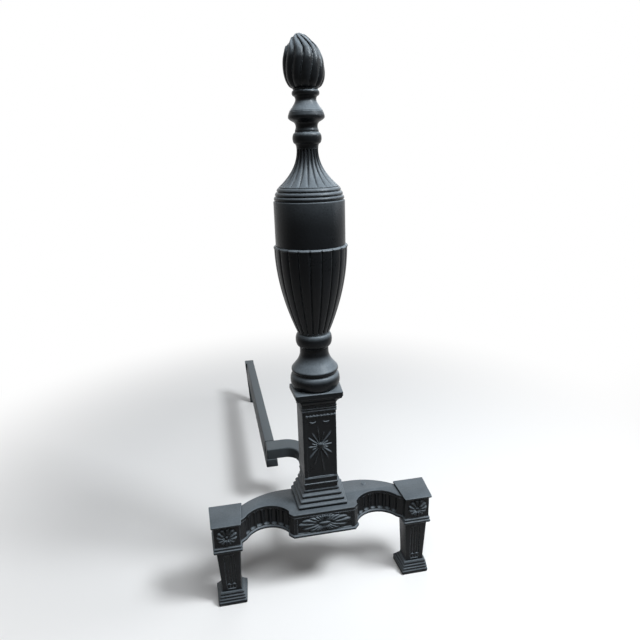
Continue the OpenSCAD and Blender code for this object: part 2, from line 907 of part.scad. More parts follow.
module bar_arm() {
    left = -bar_off - bar_top_w / 2;
    far_y = bar_front + lap_w;
    near_r = bend_r - arm_w;
    color(iron)
        place()
            difference() {
                union() {
                    translate([0, 0, arm_low])
                        cylinder(r = boss_r, h = arm_t);
                    translate([0, 0, arm_low])
                        linear_extrude(arm_t)
                            polygon(concat([[arm_w / 2, 0]],
                                bend(arm_w / 2 - bend_r, far_y - bend_r, bend_r, 10),
                                [[left, far_y], [left, bar_front]],
                                backwards(bend(-arm_w / 2 - near_r, bar_front - near_r,
                                    near_r, 8)),
                                [[-arm_w / 2, 0]]));
                }
                rod_hole(arm_low, arm_t);
                pin_hole();
            }
}

// Blind hole for the pin, from the bar's underside up into the arm
module pin_hole() {
    translate([-bar_off, bar_front + lap_w / 2, bar_low - 1])
        cylinder(r = pin_r + clear, h = bar_d + 1 - pin_cover + clear);
}

module bar_pin() {
    color(iron)
        place()
            translate([-bar_off, bar_front + lap_w / 2, bar_low])
                cylinder(r = pin_r, h = bar_d - pin_cover);
}

// Deep bar with drafted sides, cut down at its front end to carry the arm
module billet_bar() {
    length = bar_back - rear_t - bar_front;
    color(iron)
        place()
            difference() {
                translate([-bar_off, bar_front, 0])
                    rotate([0, 0, bar_splay])
                        rotate([90, 0, 0])
                            translate([0, 0, -length - 3])
                                linear_extrude(length + 6)
                                    polygon([[-bar_foot_w / 2, bar_low],
                                        [bar_foot_w / 2, bar_low], [bar_top_w / 2, bar_z],
                                        [-bar_top_w / 2, bar_z]]);
                translate([-bar_off - 60, bar_front - 20, bar_low - 1])
                    cube([120, 20, bar_d + 2]);
                translate([-bar_off - 60, bar_back - rear_t, bar_low - 1])
                    cube([120, 20, bar_d + 2]);
                translate([-bar_off - 60, bar_front - 1, arm_low])
                    cube([120, lap_w + 1, arm_t + 1]);
                pin_hole();
            }
}

// Tapered rear leg, flush with the right side of the bar
module rear_leg() {
    right = -bar_off - sin(bar_splay) * (bar_back - rear_t - bar_front) + bar_top_w / 2;
    color(iron)
        place()
            intersection() {
                translate([right, bar_back, 0])
                    rotate([90, 0, 0])
                        linear_extrude(rear_t)
                            polygon([[-rear_foot_w - 1.2, 0], [-1.2, 0], [0, bar_z],
                                [-rear_w, bar_z]]);
                translate([right - 40, bar_back, 0])
                    rotate([90, 0, 90])
                        linear_extrude(60)
                            polygon([[-rear_foot_t, 0], [0, 0], [0, bar_z],
                                [-rear_t, bar_z], [-rear_t, bar_low]]);
            }
}

deck();
centre_block();
centre_rosette();
left_arm();
right_arm();
left_block();
right_block();
left_rosette();
right_rosette();
left_cap();
right_cap();
left_necking();
right_necking();
left_leg();
right_leg();
left_foot();
right_foot();
plinth();
pedestal();
sunburst_panel();
pedestal_cap();
urn_foot();
urn_collar();
urn_cup();
urn_band();
urn_shoulder();
finial_neck();
flame();
tie_rod();
rod_nut();
rod_washer();
bar_arm();
bar_pin();
billet_bar();
rear_leg();
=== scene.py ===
import math

import bpy
import numpy as np
from mathutils import Matrix, Vector


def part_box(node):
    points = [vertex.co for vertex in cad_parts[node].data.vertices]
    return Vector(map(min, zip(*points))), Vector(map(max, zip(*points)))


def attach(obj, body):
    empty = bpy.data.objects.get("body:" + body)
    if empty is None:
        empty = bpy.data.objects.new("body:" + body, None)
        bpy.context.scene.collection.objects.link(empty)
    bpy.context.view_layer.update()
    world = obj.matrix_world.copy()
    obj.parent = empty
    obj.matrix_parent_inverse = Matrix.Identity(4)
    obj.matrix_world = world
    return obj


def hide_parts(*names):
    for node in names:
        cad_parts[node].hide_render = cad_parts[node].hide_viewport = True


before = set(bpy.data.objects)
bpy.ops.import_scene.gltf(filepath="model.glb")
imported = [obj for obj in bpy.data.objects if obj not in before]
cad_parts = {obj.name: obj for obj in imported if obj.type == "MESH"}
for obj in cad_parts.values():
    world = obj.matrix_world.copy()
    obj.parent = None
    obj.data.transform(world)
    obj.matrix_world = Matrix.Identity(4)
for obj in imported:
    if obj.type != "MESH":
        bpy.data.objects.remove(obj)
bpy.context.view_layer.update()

# The clamp rod stands on the column's axis and is the datum of the whole andiron: every
# casting is drawn in millimetres from the point where that axis meets the hearth.
COLUMN = np.append(np.mean(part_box("tie_rod"), axis=0)[:2], 0.0)


def span(casting):
    """Lowest and highest corners of a casting, in millimetres from the column's axis."""
    return (np.array(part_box(casting)) - COLUMN) * 1000


def levels(casting):
    """Heights of a casting's underside and of its top, in millimetres."""
    return span(casting)[:, 2]


# ---------------------------------------------------------------------------
# Feet: the andiron stands on two cast feet, one under each pilaster. Each is a solid sand
# casting in satin black stove paint, run in one with the leg: a thick course with rounded
# bands over it, which die away along its sides into one sloped shoulder.

class Wire:
    """A value in a finish: + - and * on it add Math nodes."""

    def __init__(self, finish, socket):
        self.finish, self.socket = finish, socket

    def math(self, operation, *values):
        inputs = dict(enumerate(values))
        return self.finish.node("Math", {"operation": operation}, inputs)

    def __add__(self, other):
        return self.math("ADD", self, other)

    def __sub__(self, other):
        return self.math("SUBTRACT", self, other)

    def __rsub__(self, other):
        return self.math("SUBTRACT", other, self)

    def __mul__(self, other):
        return self.math("MULTIPLY", self, other)

    __radd__, __rmul__ = __add__, __mul__

    def held(self):
        """The value kept between 0 and 1."""
        return self.finish.node("Clamp", {}, {"Value": self})

    def ramp(self, low, high):
        """0 below low, 1 above high, and an S-curve between them."""
        return self.finish.node("MapRange", {"interpolation_type": "SMOOTHSTEP"},
                                {"Value": self, "From Min": low, "From Max": high})


class Finish:
    """Nodes of one material, or of the room's light; every node is made by node()."""

    def __init__(self, block):
        block.use_nodes = True
        self.tree = block.node_tree
        self.tree.nodes.clear()

    def node(self, kind, settings=None, inputs=None, output=0):
        """Make a node, apply its settings, fill its sockets, and hand back one output."""
        made = self.tree.nodes.new("ShaderNode" + kind)
        for name, value in (settings or {}).items():
            setattr(made, name, value)
        for name, value in (inputs or {}).items():
            if isinstance(value, Wire):
                self.tree.links.new(value.socket, made.inputs[name])
            else:
                made.inputs[name].default_value = value
        return Wire(self, made.outputs[output]) if made.outputs else None

    def noise(self, place, size, detail):
        """Cloudy value from 0 to 1 whose blotches are about size metres across."""
        return self.node("TexNoise", {}, {"Vector": place, "Scale": 1 / size,
                                          "Detail": detail})


def stove_paint(name, thin, thick, rough, grit, rubbed_and_edge_highlight, dust_and_highlight_colour):
    """Stove paint on a sand casting: its tone clouds between thin and thick, and the sand of the mould
    shows as grit in millimetres. Edges, convex and hollow alike, are paler and smoother, partly as
    rubbed wear and partly as a painted highlight along them. What faces up is paler and duller, partly
    as dust and partly as a painted highlight, more on slopes than on level tops. It gleams little."""
    material = bpy.data.materials.new(name)
    paint = Finish(material)
    place = paint.node("TexCoord", output="Object")
    clouds = paint.noise(place, 0.026, 3)
    sand = paint.noise(place, 0.0024, 3)
    grain = paint.noise(place, 0.0007, 1)
    eased = paint.node("Bevel", {"samples": 4}, {"Radius": 0.0009})
    own = paint.node("NewGeometry", output="Normal")
    agree = paint.node("VectorMath", {"operation": "DOT_PRODUCT"}, {0: eased, 1: own},
                       output="Value")
    # Edges, convex and hollow alike: partly rubbed wear, partly a painted highlight along each edge.
    edge = ((1 - agree) * 5).held()
    up = paint.node("SeparateXYZ", {}, {0: own}, output="Z")
    # Painted paler where the surface faces up, most on slopes and less on level tops: partly dust,
    # partly a painted highlight.
    dust_and_highlight_slope = up.ramp(0.1, 0.8) * (1.35 - up * 0.85)
    dust_and_highlight = dust_and_highlight_slope * (0.75 + (clouds - 0.5) * 0.5 + (sand - 0.5) * 0.4)
    coat = paint.node("Mix", {"data_type": "RGBA"},
                      {"Factor": clouds * 0.7 + sand * 0.3, 6: thick, 7: thin}, output=2)
    worn_and_edge_highlight = paint.node("Mix", {"data_type": "RGBA"},
                      {"Factor": edge * (sand + 0.2), 6: coat, 7: rubbed_and_edge_highlight}, output=2)
    skin = paint.node("Mix", {"data_type": "RGBA"}, {"Factor": dust_and_highlight, 6: worn_and_edge_highlight, 7: dust_and_highlight_colour}, output=2)
    relief = paint.node("Bump", {}, {"Strength": 1.0, "Distance": grit / 1000,
                                     "Height": sand * 0.8 + grain * 0.3 + clouds * 0.8,
                                     "Normal": eased})
    shine = paint.node("BsdfPrincipled", {}, {
        "Base Color": skin, "Normal": relief, "IOR": 1.22,
        "Roughness": rough + (clouds - 0.5) * 0.16 + (sand - 0.5) * 0.14 - edge * 0.06
        + dust_and_highlight * 0.08})
    paint.node("OutputMaterial", {}, {"Surface": shine})
    return material


# The last two colours are the rubbed edges, which also carry a painted edge highlight, and the dust,
# which also carries a painted highlight on what faces up.
BLACK = stove_paint("black_stove_paint", (0.009, 0.0103, 0.0118, 1), (0.0035, 0.004, 0.0047, 1),
                    0.31, 0.24, (0.22, 0.245, 0.266, 1), (0.205, 0.233, 0.258, 1))


def closed(rings, looped=False):
    """Skin of a stack of rings (m, n, 3): a quad between neighbours on two rings, and a
    flat face over each end, or the last ring joined to the first. It is turned so that
    the volume it holds, a sixth of the sum of a . (b x c) over its triangles, is positive."""
    m, n = rings.shape[:2]
    row, col = np.meshgrid(np.arange(m if looped else m - 1), np.arange(n), indexing="ij")
    beside, above = (col + 1) % n, (row + 1) % m
    quads = np.stack([row * n + col, row * n + beside, above * n + beside, above * n + col],
                     axis=-1).reshape(-1, 4)
    points = rings.reshape(-1, 3)
    lids = [] if looped else [np.arange(n)[::-1], np.arange((m - 1) * n, m * n)]
    fans = [np.stack([np.full(n - 2, lid[0]), lid[1:-1], lid[2:]], axis=1) for lid in lids]
    thirds = np.concatenate([quads[:, [0, 1, 2]], quads[:, [0, 2, 3]]] + fans)
    a, b, c = (points[thirds[:, i]] for i in range(3))
    faces = quads.tolist() + [lid.tolist() for lid in lids]
    if np.einsum("ij,ij->", a, np.cross(b, c)) < 0:
        faces = [face[::-1] for face in faces]
    return points, faces


def piece(name, casting, finish, *skins, slot="black_iron", flip=False, sharp=38):
    """Skins in millimetres from the column's axis become one piece on the fixed frame, in
    place of a CAD casting. flip makes it the left-hand one of a pair."""
    points, faces, count = [], [], 0
    for skin_points, skin_faces in skins:
        points.append(skin_points)
        faces += [[corner + count for corner in face] for face in skin_faces]
        count += len(skin_points)
    points = np.concatenate(points) * ([-1, 1, 1] if flip else 1)
    mesh = bpy.data.meshes.new(name)
    mesh.from_pydata(points * 0.001 + COLUMN, [],
                     [face[::-1] for face in faces] if flip else faces)
    mesh.shade_smooth()
    mesh.set_sharp_from_angle(angle=math.radians(sharp))
    mesh.materials.append(finish)
    made = bpy.data.objects.new(name, mesh)
    bpy.context.scene.collection.objects.link(made)
    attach(made, "root")
    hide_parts(casting)


LEG_X = 125.3                      # pilaster centre from the column's axis


def pair(name, casting, *skins, shift=LEG_X, sharp=38):
    """A black piece, drawn round x = 0 and shifted to the right, and its mirror image."""
    moved = [(points + [shift, 0, 0], faces) for points, faces in skins]
    piece("right_" + name, "right_" + casting, BLACK, *moved, sharp=sharp)
    piece("left_" + name, "left_" + casting, BLACK, *moved, flip=True, sharp=sharp)


def eased(corners, radius, looped=False):
    """A line whose corners are turned into curves. Each curve starts and ends radius from
    its corner, or under half the way to the next one, and is the parabola between them."""
    p = np.asarray(corners, float)
    before, after = np.roll(p, 1, axis=0), np.roll(p, -1, axis=0)
    back, on = before - p, after - p
    short = np.minimum(np.linalg.norm(back, axis=1), np.linalg.norm(on, axis=1)) * 0.48
    cut = np.minimum(radius, short)[:, None]
    start = p + back / np.linalg.norm(back, axis=1)[:, None] * cut
    end = p + on / np.linalg.norm(on, axis=1)[:, None] * cut
    t = np.linspace(0, 1, 5)[None, :, None]
    curve = (start[:, None] * (1 - t) ** 2 + p[:, None] * 2 * t * (1 - t)
             + end[:, None] * t ** 2)
    if looped:
        return curve.reshape(-1, 2)
    return np.concatenate([p[:1], curve[1:-1].reshape(-1, 2), p[-1:]])


DRAFT = math.radians(3.8)          # side faces of the castings open towards the back


def keystone(half, front, back, corner, across=np.linspace(-1, 1, 9)[1:-1]):
    """Plans of a drafted block, one for each row of its sizes: up the left side from the
    open back, round a quarter circle, across the front at fractions of its half width,
    round the other quarter, and back down the right side, spread by the draft."""
    half, front, back = (np.reshape(v, (-1, 1)).astype(float)
                         for v in np.broadcast_arrays(half, front, back))
    turn = np.linspace(-math.pi / 2, -DRAFT, 6)
    middle = half - corner * (1 - math.sin(DRAFT)) / math.cos(DRAFT)
    arc = np.stack(np.broadcast_arrays(middle + corner * np.cos(turn),
                                       corner - front + corner * np.sin(turn)), axis=-1)
    y = arc[:, -1:, 1] + (back - arc[:, -1:, 1]) * [0.5, 1]
    side = np.stack([half + (y + front) * math.tan(DRAFT), y], axis=-1)
    right = np.concatenate([arc, side], axis=1)
    face = np.stack(np.broadcast_arrays(middle * across, -front), axis=-1)
    return np.concatenate([right[:, ::-1] * [-1, 1], face, right], axis=1)


def raised(plans, heights):
    """Rings: each plan (n, 2), or the only one, lifted to its height."""
    z = np.reshape(heights, (-1, 1))
    return np.stack(np.broadcast_arrays(plans[..., 0], plans[..., 1], z), axis=-1)


FOOT_HALF, FOOT_FRONT, FOOT_BACK = 18.5, 38.5, -5
SLOPE_BASE, SLOPE_TALL, SLOPE_IN = 8.5, 11, 5.2
foot_top = levels("right_foot")[1]
inset, height = eased([(-0.9, 0), (0, 1.1), (0, 5), (-2.2, 6.1), (-2.2, 6.7), (-0.9, 7.3),
                       (-0.9, 9.2), (-3.0, 10.4), (-3.0, 11.0), (-1.8, 11.6), (-1.8, 13.5),
                       (-3.8, 14.8), (-3.8, 15.5), (-2.7, 16.0), (-2.7, 17.7), (-3.8, 19),
                       (-3.8, foot_top)], 0.9).T
sloped = -SLOPE_IN * np.clip((height - SLOPE_BASE) / SLOPE_TALL, 0, 1)
foot = raised(keystone(FOOT_HALF + inset, FOOT_FRONT + inset * 0.6, FOOT_BACK + sloped * 1.7, 1.6),
              height)
behind = np.clip((foot[..., 1] + 38) / 28, 0, 1)     # 0 on the front, 1 from 28 mm behind it
foot[..., 0] += np.sign(foot[..., 0]) * (sloped - inset)[:, None] * behind
pair("foot_casting", "foot", closed(foot))

# ---------------------------------------------------------------------------
# Pilaster shafts: tapered castings with an open channel up the back. A sunk panel on the
# front holds three upright reeds, with small swags at its head and foot over a ledge; the
# shaft flares where it meets the foot.

def lines(*stops, step):
    """Numbers from the first stop to the last, through each stop, at most step apart."""
    runs = [np.linspace(a, b, max(2, math.ceil((b - a) / step) + 1))
            for a, b in zip(stops, stops[1:])]
    return np.unique(np.concatenate(runs))


def sunk(x, z, half, low, high, bevel):
    """1 inside a panel, 0 outside it, and sloping evenly over the bevel at its edges."""
    inside = np.minimum(half - np.abs(x), np.minimum(z - low, high - z))
    return np.clip(inside / bevel, 0, 1)


def crescent(x, z, face, half, drop, thick):
    """Swag on a face: half ellipses along a hanging parabola, thickest at its middle."""
    t = np.linspace(-1, 1, 15)[:, None]
    size = thick * np.sqrt(np.clip(1 - t ** 2, 0.02, 1))
    turn = np.linspace(-math.pi, 0, 8)
    rim = np.stack(np.broadcast_arrays(
        x + half * t, face + size * np.sin(turn) * 0.8 + 0.1,
        z - drop * (1 - t ** 2) + size * np.cos(turn)), axis=-1)
    return closed(rim)


def lined(outer, hollow):
    """Skin of an open-backed casting: at each point of its plan, up outside, down inside."""
    return closed(np.concatenate([outer, hollow]).transpose(1, 0, 2))


WALL = 5                           # thickness of the castings' walls
SHAFT_HALF, SHAFT_FRONT, SHAFT_BACK = 11.8, 33.4, -14
WIDENS = 3.1                       # gain in half width, and in depth, from foot to necking
REED = 3.8                         # pitch of the three reeds
FACE = slice(8, -8)                # points of a keystone that lie across its front
neck_base, neck_top = levels("right_necking")
shaft_z = lines(foot_top, foot_top + 5, foot_top + 7, neck_base - 8.6, neck_base, step=2.0)
gain = WIDENS * (shaft_z - foot_top) / (neck_base - foot_top)
flare = 1.5 * np.clip(1 - (shaft_z - foot_top) / 5, 0, 1) ** 2
across = np.array([-6.5, -5.9, -5.2, -4.7, -3.9, -3.1, -2.3, -1.9, -1.5, -0.8, 0, 0.8, 1.5,
                   1.9, 2.3, 3.1, 3.9, 4.7, 5.2, 5.9, 6.5])
outer = raised(keystone(SHAFT_HALF + gain + flare, SHAFT_FRONT + gain + flare * 0.4, SHAFT_BACK, 0.8,
                        across / 13), shaft_z)
x = np.broadcast_to(across, outer[:, FACE, 0].shape)
outer[:, FACE, 0] = x
reed = np.sqrt(np.clip(1 - (((x + REED / 2) % REED - REED / 2) / 1.75) ** 2, 0, 1))
panel = sunk(x, shaft_z[:, None], 6.6, foot_top + 5.6, neck_base - 7.4, 0.9)
outer[:, FACE, 1] += panel * (1.5 - 1.1 * reed * (np.abs(x) < 1.5 * REED))
hollow = raised(keystone(SHAFT_HALF - WALL, SHAFT_FRONT - 7, SHAFT_BACK, 0.5, across / 13),
                [neck_base, foot_top])
swags = [crescent(x, z, y, 2.7, drop, 1.3) for x in (-3.2, 3.2)
         for z, y, drop in ((neck_base - 6.3, -36.0, 1.6), (foot_top + 8.8, -33.6, -1.3))]
ledge = crescent(0, foot_top + 2.9, -33.8, 5.6, -0.1, 0.8)
pair("pilaster", "leg", lined(outer, hollow), *swags, ledge, sharp=25)

# ---------------------------------------------------------------------------
# Neckings: a thick band, a sunk line and a thinner band between each shaft and the block
# over it. They are cast in one with the block and rounded by the moulder.

BLOCK_HALF, BLOCK_FRONT, BLOCK_BACK = 16.25, 39.5, -0.5
out, height = eased([(0.5, 0), (2, 1.3), (2, 4.1), (0.1, 5.1), (0.1, 5.7), (1.4, 6.2), (1.4, 8.0),
                     (0.1, 8.9), (0.1, neck_top - neck_base)], 1.2).T
necking = raised(keystone(BLOCK_HALF + out, BLOCK_FRONT + out, BLOCK_BACK, 1.2), neck_base + height)
pair("necking_casting", "necking", closed(necking))

# ---------------------------------------------------------------------------
# End blocks: square boxes with an open back that carry the bridge's ends. The front of
# each has a round carved fan whose hub sits low, so that its upper petals are longer.

def fan(z, face, reach, petals, turn, rise, hub, hub_rise):
    """Carved fan on a face, at s from its middle (0) to its rim (1), phi being -1 and 1 at
    a petal's sides. A petal is a half ellipse across, with a flat gap on each side. Along,
    it rises over 0.3 of its length, runs level, and rounds off past 0.72. The rim is
    scalloped by phi^4, and the hub is a dome with a sunk line round it."""
    part = np.arange(petals * 10) / 10
    phi = (part + 0.5) % 1 * 2 - 1
    angle = part * 2 * math.pi / petals + turn
    s = np.concatenate([hub * np.array([0.05, 0.3, 0.55, 0.75, 0.9, 0.98, 1.0, 1.08]),
                        lines(hub * 1.2, 0.86, 1, step=(1 - hub * 1.2) / 18)])[:, None]
    along = np.clip((s - hub) / (1 - hub), 0, 1)
    swell = np.clip(along / 0.3, 0, 1) ** 0.7
    tip = np.sqrt(1 - np.clip((along - 0.72) / 0.28, 0, 1) ** 2)
    petal = rise * (0.1 + 0.9 * np.sqrt(np.clip(1 - (phi * 1.12) ** 2, 0, 1))) * swell * tip
    dome = hub_rise * np.sqrt(np.clip(1 - (s / hub) ** 2, 0, 1)) + 0.25
    high = np.where(s < hub * 0.99, dome, petal + 0.12)
    out = s * reach(angle) * (1 - 0.13 * (s > hub) * s ** 2 * phi ** 4)
    shape = np.stack([out * np.cos(angle), face - high, z + out * np.sin(angle)], axis=-1)
    shape = np.concatenate([shape, shape[-1:] * [1, 0, 1] + [0, face + 0.3, 0]])
    return closed(shape)


def drop_reach(r, drop):
    """Distance from a hub that sits drop below a circle's centre to the circle."""
    return lambda a: drop * np.sin(a) + np.sqrt(r * r - (drop * np.cos(a)) ** 2)


block_z = levels("right_block")
across = lines(-1, 1, step=0.25)[1:-1]
outer = raised(keystone(BLOCK_HALF, BLOCK_FRONT, BLOCK_BACK, 0.8, across), block_z)
hollow = raised(keystone(BLOCK_HALF - WALL, BLOCK_FRONT - WALL, BLOCK_BACK, 0.5, across), block_z[::-1])
ceiling = raised(keystone(BLOCK_HALF - WALL + 0.25, BLOCK_FRONT - WALL + 0.3, BLOCK_BACK, 0.5),
                 block_z[1] - [WALL, 0])
pair("end_block", "block", lined(outer, hollow), closed(ceiling))
pair("fan", "rosette", fan(block_z[0] + 12.6, -39.3, drop_reach(12.9, 2.6), petals=12, turn=0.12,
                           rise=2.8, hub=0.2, hub_rise=1.6))

# ---------------------------------------------------------------------------
# Cap plates: thin square plates that overhang the end blocks, cast with them. The top is flat and
# painted paler, partly as dust and partly as a painted highlight, and the lower edge is undercut.

CAP_HALF, CAP_FRONT = 18.5, 43.5
base, top = levels("right_cap")
out, height = eased([(-1.5, 0), (-0.35, 0.35), (0, 0.9), (0, 2.5), (-0.6, top - base)], 0.5).T
cap = raised(keystone(CAP_HALF + out, CAP_FRONT + out, BLOCK_BACK, 1.5), base + height)
pair("cap_plate", "cap", closed(cap))

# ---------------------------------------------------------------------------
# Deck: the bridge's flat top, 5 mm thick, with its front edge hollowed in plan over each
# arm and its back edge curving forward to the end blocks. A boss under it sits on the
# bar's arm, round the rod, and the casting's feed has left a small ring on the right.

ARM = np.array([73.0, -42.0])      # centre of an arm's hollow curve in plan
ARM_R = 32.0
ARM_HALF = math.radians(61)
TAIL_Y = -32.0                     # where the hollow curve ends, on the end block's side
CENTRE_HALF, CENTRE_FRONT = 40, 38
BACK_R, BACK_X = 91, 46            # the back edge curves forward beyond BACK_X
ROD_BOSS = 12.0                    # radius of the bosses round the rod
FEED, FEED_R = [63.8, 9], 3.3      # place and radius of the feed's ring


def outward(line, looped):
    """Mitred outward normals of an anticlockwise line: the sum of the unit normals on the
    two sides of a point over one plus their dot product, so that offsets keep their width."""
    run = np.roll(line, -1, axis=0) - line
    normal = np.stack([run[:, 1], -run[:, 0]], axis=1) / np.linalg.norm(run, axis=1)[:, None]
    before = np.roll(normal, 1, axis=0)
    if not looped:
        before[0], normal[-1] = normal[0], before[-1]
    return (before + normal) / (1 + np.sum(before * normal, axis=1))[:, None]


def moulded(line, profile, looped=True):
    """Rings of a line that grows by the profile's out at the profile's height."""
    out, height = np.asarray(profile, float).T
    return raised(line + outward(line, looped) * out[:, None, None], height)


def block_side(y):
    """X of the right end block's inner side at y."""
    return LEG_X - BLOCK_HALF - (BLOCK_FRONT + y) * math.tan(DRAFT)


deck_low, deck_high = span("deck")
arc_end = ARM + ARM_R * np.array([-math.sin(ARM_HALF), math.cos(ARM_HALF)])
elbow = np.array([arc_end[0] + 0.35, (arc_end[1] - CENTRE_FRONT) / 2])
tail = [[block_side(TAIL_Y), TAIL_Y]]
turn = math.pi / 2 + ARM_HALF * np.linspace(1, -1, 25)
curve = ARM + ARM_R * np.stack([np.cos(turn), np.sin(turn)], axis=1)
x = np.linspace(block_side(-3.8), 36, 14)
back_y = deck_high[1] - BACK_R + np.sqrt(BACK_R ** 2 - np.clip(x - BACK_X, 0, None) ** 2)
front = eased([(0, -CENTRE_FRONT), (CENTRE_HALF, -CENTRE_FRONT), elbow, curve[0]], 1.0)
half_deck = np.concatenate([front[1:], curve[1:], tail, np.stack([x, back_y], axis=1)])
plan = np.concatenate([half_deck, half_deck[::-1] * [-1, 1]])
edge = eased([(-0.7, 0), (0, 0.7), (0, 3.9), (-0.35, 4.6), (-1.2, 5)], 0.5)
deck = moulded(plan, edge + [0, deck_high[2] - WALL])
turn = np.linspace(0, 2 * math.pi, 49)[:-1]
circle = np.stack([np.cos(turn), np.sin(turn)], axis=1)
boss = moulded(circle * ROD_BOSS, np.array([(-0.8, 0), (0, 0.8), (0, 14.5)]) + [0, deck_low[2]])
feed = moulded(circle * FEED_R + FEED, eased([(0, -1), (0, 0.8), (-1.1, 0.8), (-1.5, 0.1)], 0.4)
               + [0, deck_high[2]])
piece("bridge_deck", "deck", BLACK, closed(deck), closed(boss), closed(feed))

# ---------------------------------------------------------------------------
# Centre of the bridge: front and splayed sides in one 5 mm wall, open behind. A bead runs
# along its lower edge, and a wide oval fan is carved in a shallow field on its front.

def walled(outside, inside, profile):
    """Wall along a line: the profile's out and height on the outside, and straight down
    the inside line again. The rings run along the wall."""
    skin = moulded(outside, profile, looped=False)
    inner = raised(np.stack([inside, inside]), [profile[-1][1], profile[0][1]])
    return np.concatenate([skin, inner]).transpose(1, 0, 2)


def beaded(heights):
    """Profile of a wall: the bead along its lower edge, then straight up to its top."""
    bead = eased([(0.1, 0), (1.6, 0.7), (1.7, 3.3), (0, 4.6)], 1.2)
    return np.concatenate([bead + [0, wall_base], np.stack([heights * 0, heights], axis=1)])


def centre_line(side, spread):
    """Plan of the wall: the left side, points along the front, and the right side."""
    middle = np.stack([front * spread, np.full(len(front), side[0, 1])], axis=1)
    return np.concatenate([eased(side[::-1] * [-1, 1], 0.9), middle, eased(side, 0.9)])


FIELD_HALF, FIELD_DEEP, FIELD_BEVEL = 36, 0.9, 0.8
wall_base, wall_top = levels("centre_block")[0], deck_high[2] - WALL
field_base, field_top = wall_base + 5.4, wall_top - 2.4
front = np.array([-FIELD_HALF, FIELD_BEVEL - FIELD_HALF, *np.linspace(-34, 34, 9),
                  FIELD_HALF - FIELD_BEVEL, FIELD_HALF])
side = np.array([(CENTRE_HALF, -CENTRE_FRONT), elbow, arc_end])
outside = centre_line(side, 1)
inside = centre_line(side + [(-WALL, WALL), (-WALL, 0), (-WALL, 0)], 0.9)
wall = walled(outside, inside, beaded(np.array([
    field_base, field_base + FIELD_BEVEL, field_top - FIELD_BEVEL, field_top, wall_top])))
ends = (len(outside) - len(front)) // 2
field = wall[ends:-ends, :-2]
field[..., 1] += FIELD_DEEP * sunk(field[..., 0], field[..., 2], FIELD_HALF, field_base, field_top,
                                   FIELD_BEVEL)
piece("bridge_centre", "centre_block", BLACK, closed(wall), sharp=25)


def oval_reach(rx, rz):
    """Distance from an ellipse's centre to its edge at an angle."""
    return lambda a: rx * rz / np.sqrt((rz * np.cos(a)) ** 2 + (rx * np.sin(a)) ** 2)


oval = fan((wall_base + wall_top) / 2 + 2.4, -37.2, oval_reach(34.6, 11.9), petals=24, turn=0,
           rise=2.5, hub=0.24, hub_rise=2.8)
piece("bridge_fan", "centre_rosette", BLACK, oval)

# ---------------------------------------------------------------------------
# Arms of the bridge: hollow curved walls set just behind the deck's lip, each with seven
# upright flutes whose ends are rounded, and a bead along the lower edge.

FLUTES, FLUTE_HALF, FLUTE_DEEP = 7, 3.7, 2.7
INNER_Y = -21.5                    # where the wall's inside meets the end block
turn = math.pi / 2 + ARM_HALF * np.linspace(1, -1, FLUTES * 16 + 1)
radial = np.stack([np.cos(turn), np.sin(turn)], axis=1)
outside = np.concatenate([ARM + (ARM_R + 0.4) * radial, tail])
inside = np.concatenate([ARM + (ARM_R + WALL) * radial, [[block_side(INNER_Y), INNER_Y]]])
height = lines(wall_base + 5, wall_top, step=0.7)
wall = walled(outside, inside, beaded(height))
along = (turn - math.pi / 2) * ARM_R
pitch = 2 * ARM_HALF * ARM_R / FLUTES
off = np.abs((along + pitch / 2) % pitch - pitch / 2)[:, None]
past = np.clip(wall_base + 9.3 - height, 0, None) + np.clip(height - wall_top + 3, 0, None)
depth = FLUTE_DEEP * np.sqrt(np.clip(1 - (off ** 2 + past ** 2) / FLUTE_HALF ** 2, 0, 1))
wall[:-1, -len(height) - 2:-2, :2] += radial[:, None] * depth[:, :, None]
pair("bridge_arm", "arm", closed(wall), shift=0)

# ---------------------------------------------------------------------------
# Plinth: four stepped courses with rounded noses and sloping treads, cast hollow behind.
# It stands on the deck and is clamped there by the rod.

COURSES, TREAD = 4, 3
PLINTH_HALF, PLINTH_FRONT, PLINTH_BACK, HOLLOW_BACK = 32, 30.5, 20, 18.2
PED_HALF, PED_FRONT = 21.3, 21.5   # the pedestal's, whose hollow the plinth carries on
base, top = levels("plinth")
course = (top - base) / COURSES
corners = []
for i in range(COURSES):
    nose, low = -TREAD * i, course * i
    corners += [(nose - 0.6, low), (nose, low + 0.7), (nose, low + 3.4), (nose - 1.3, low + 4.8),
                (nose - TREAD, low + 5.4)]
corners[-1] = (-10.8, course * COURSES)
out, height = eased(corners, 0.9).T
outer = raised(keystone(PLINTH_HALF + out, PLINTH_FRONT + out, PLINTH_BACK + out / 6, 1.4),
               base + height)
hollow = raised(keystone(PED_HALF - WALL, PED_FRONT - WALL, HOLLOW_BACK, 0.8), [top, base])
floor_plate = raised(keystone(PED_HALF - WALL + 0.3, PED_FRONT - WALL + 0.3, HOLLOW_BACK, 0.8),
                     [base, base + WALL])
piece("stepped_plinth", "plinth", BLACK, lined(outer, hollow), closed(floor_plate))

# ---------------------------------------------------------------------------
# Pedestal: a square shaft, open behind. Three fine fillets run under its cap, a worn bead
# and reel crosses the front over the sunk panel, and the panel has a round sill with a
# bevelled ledge under it.

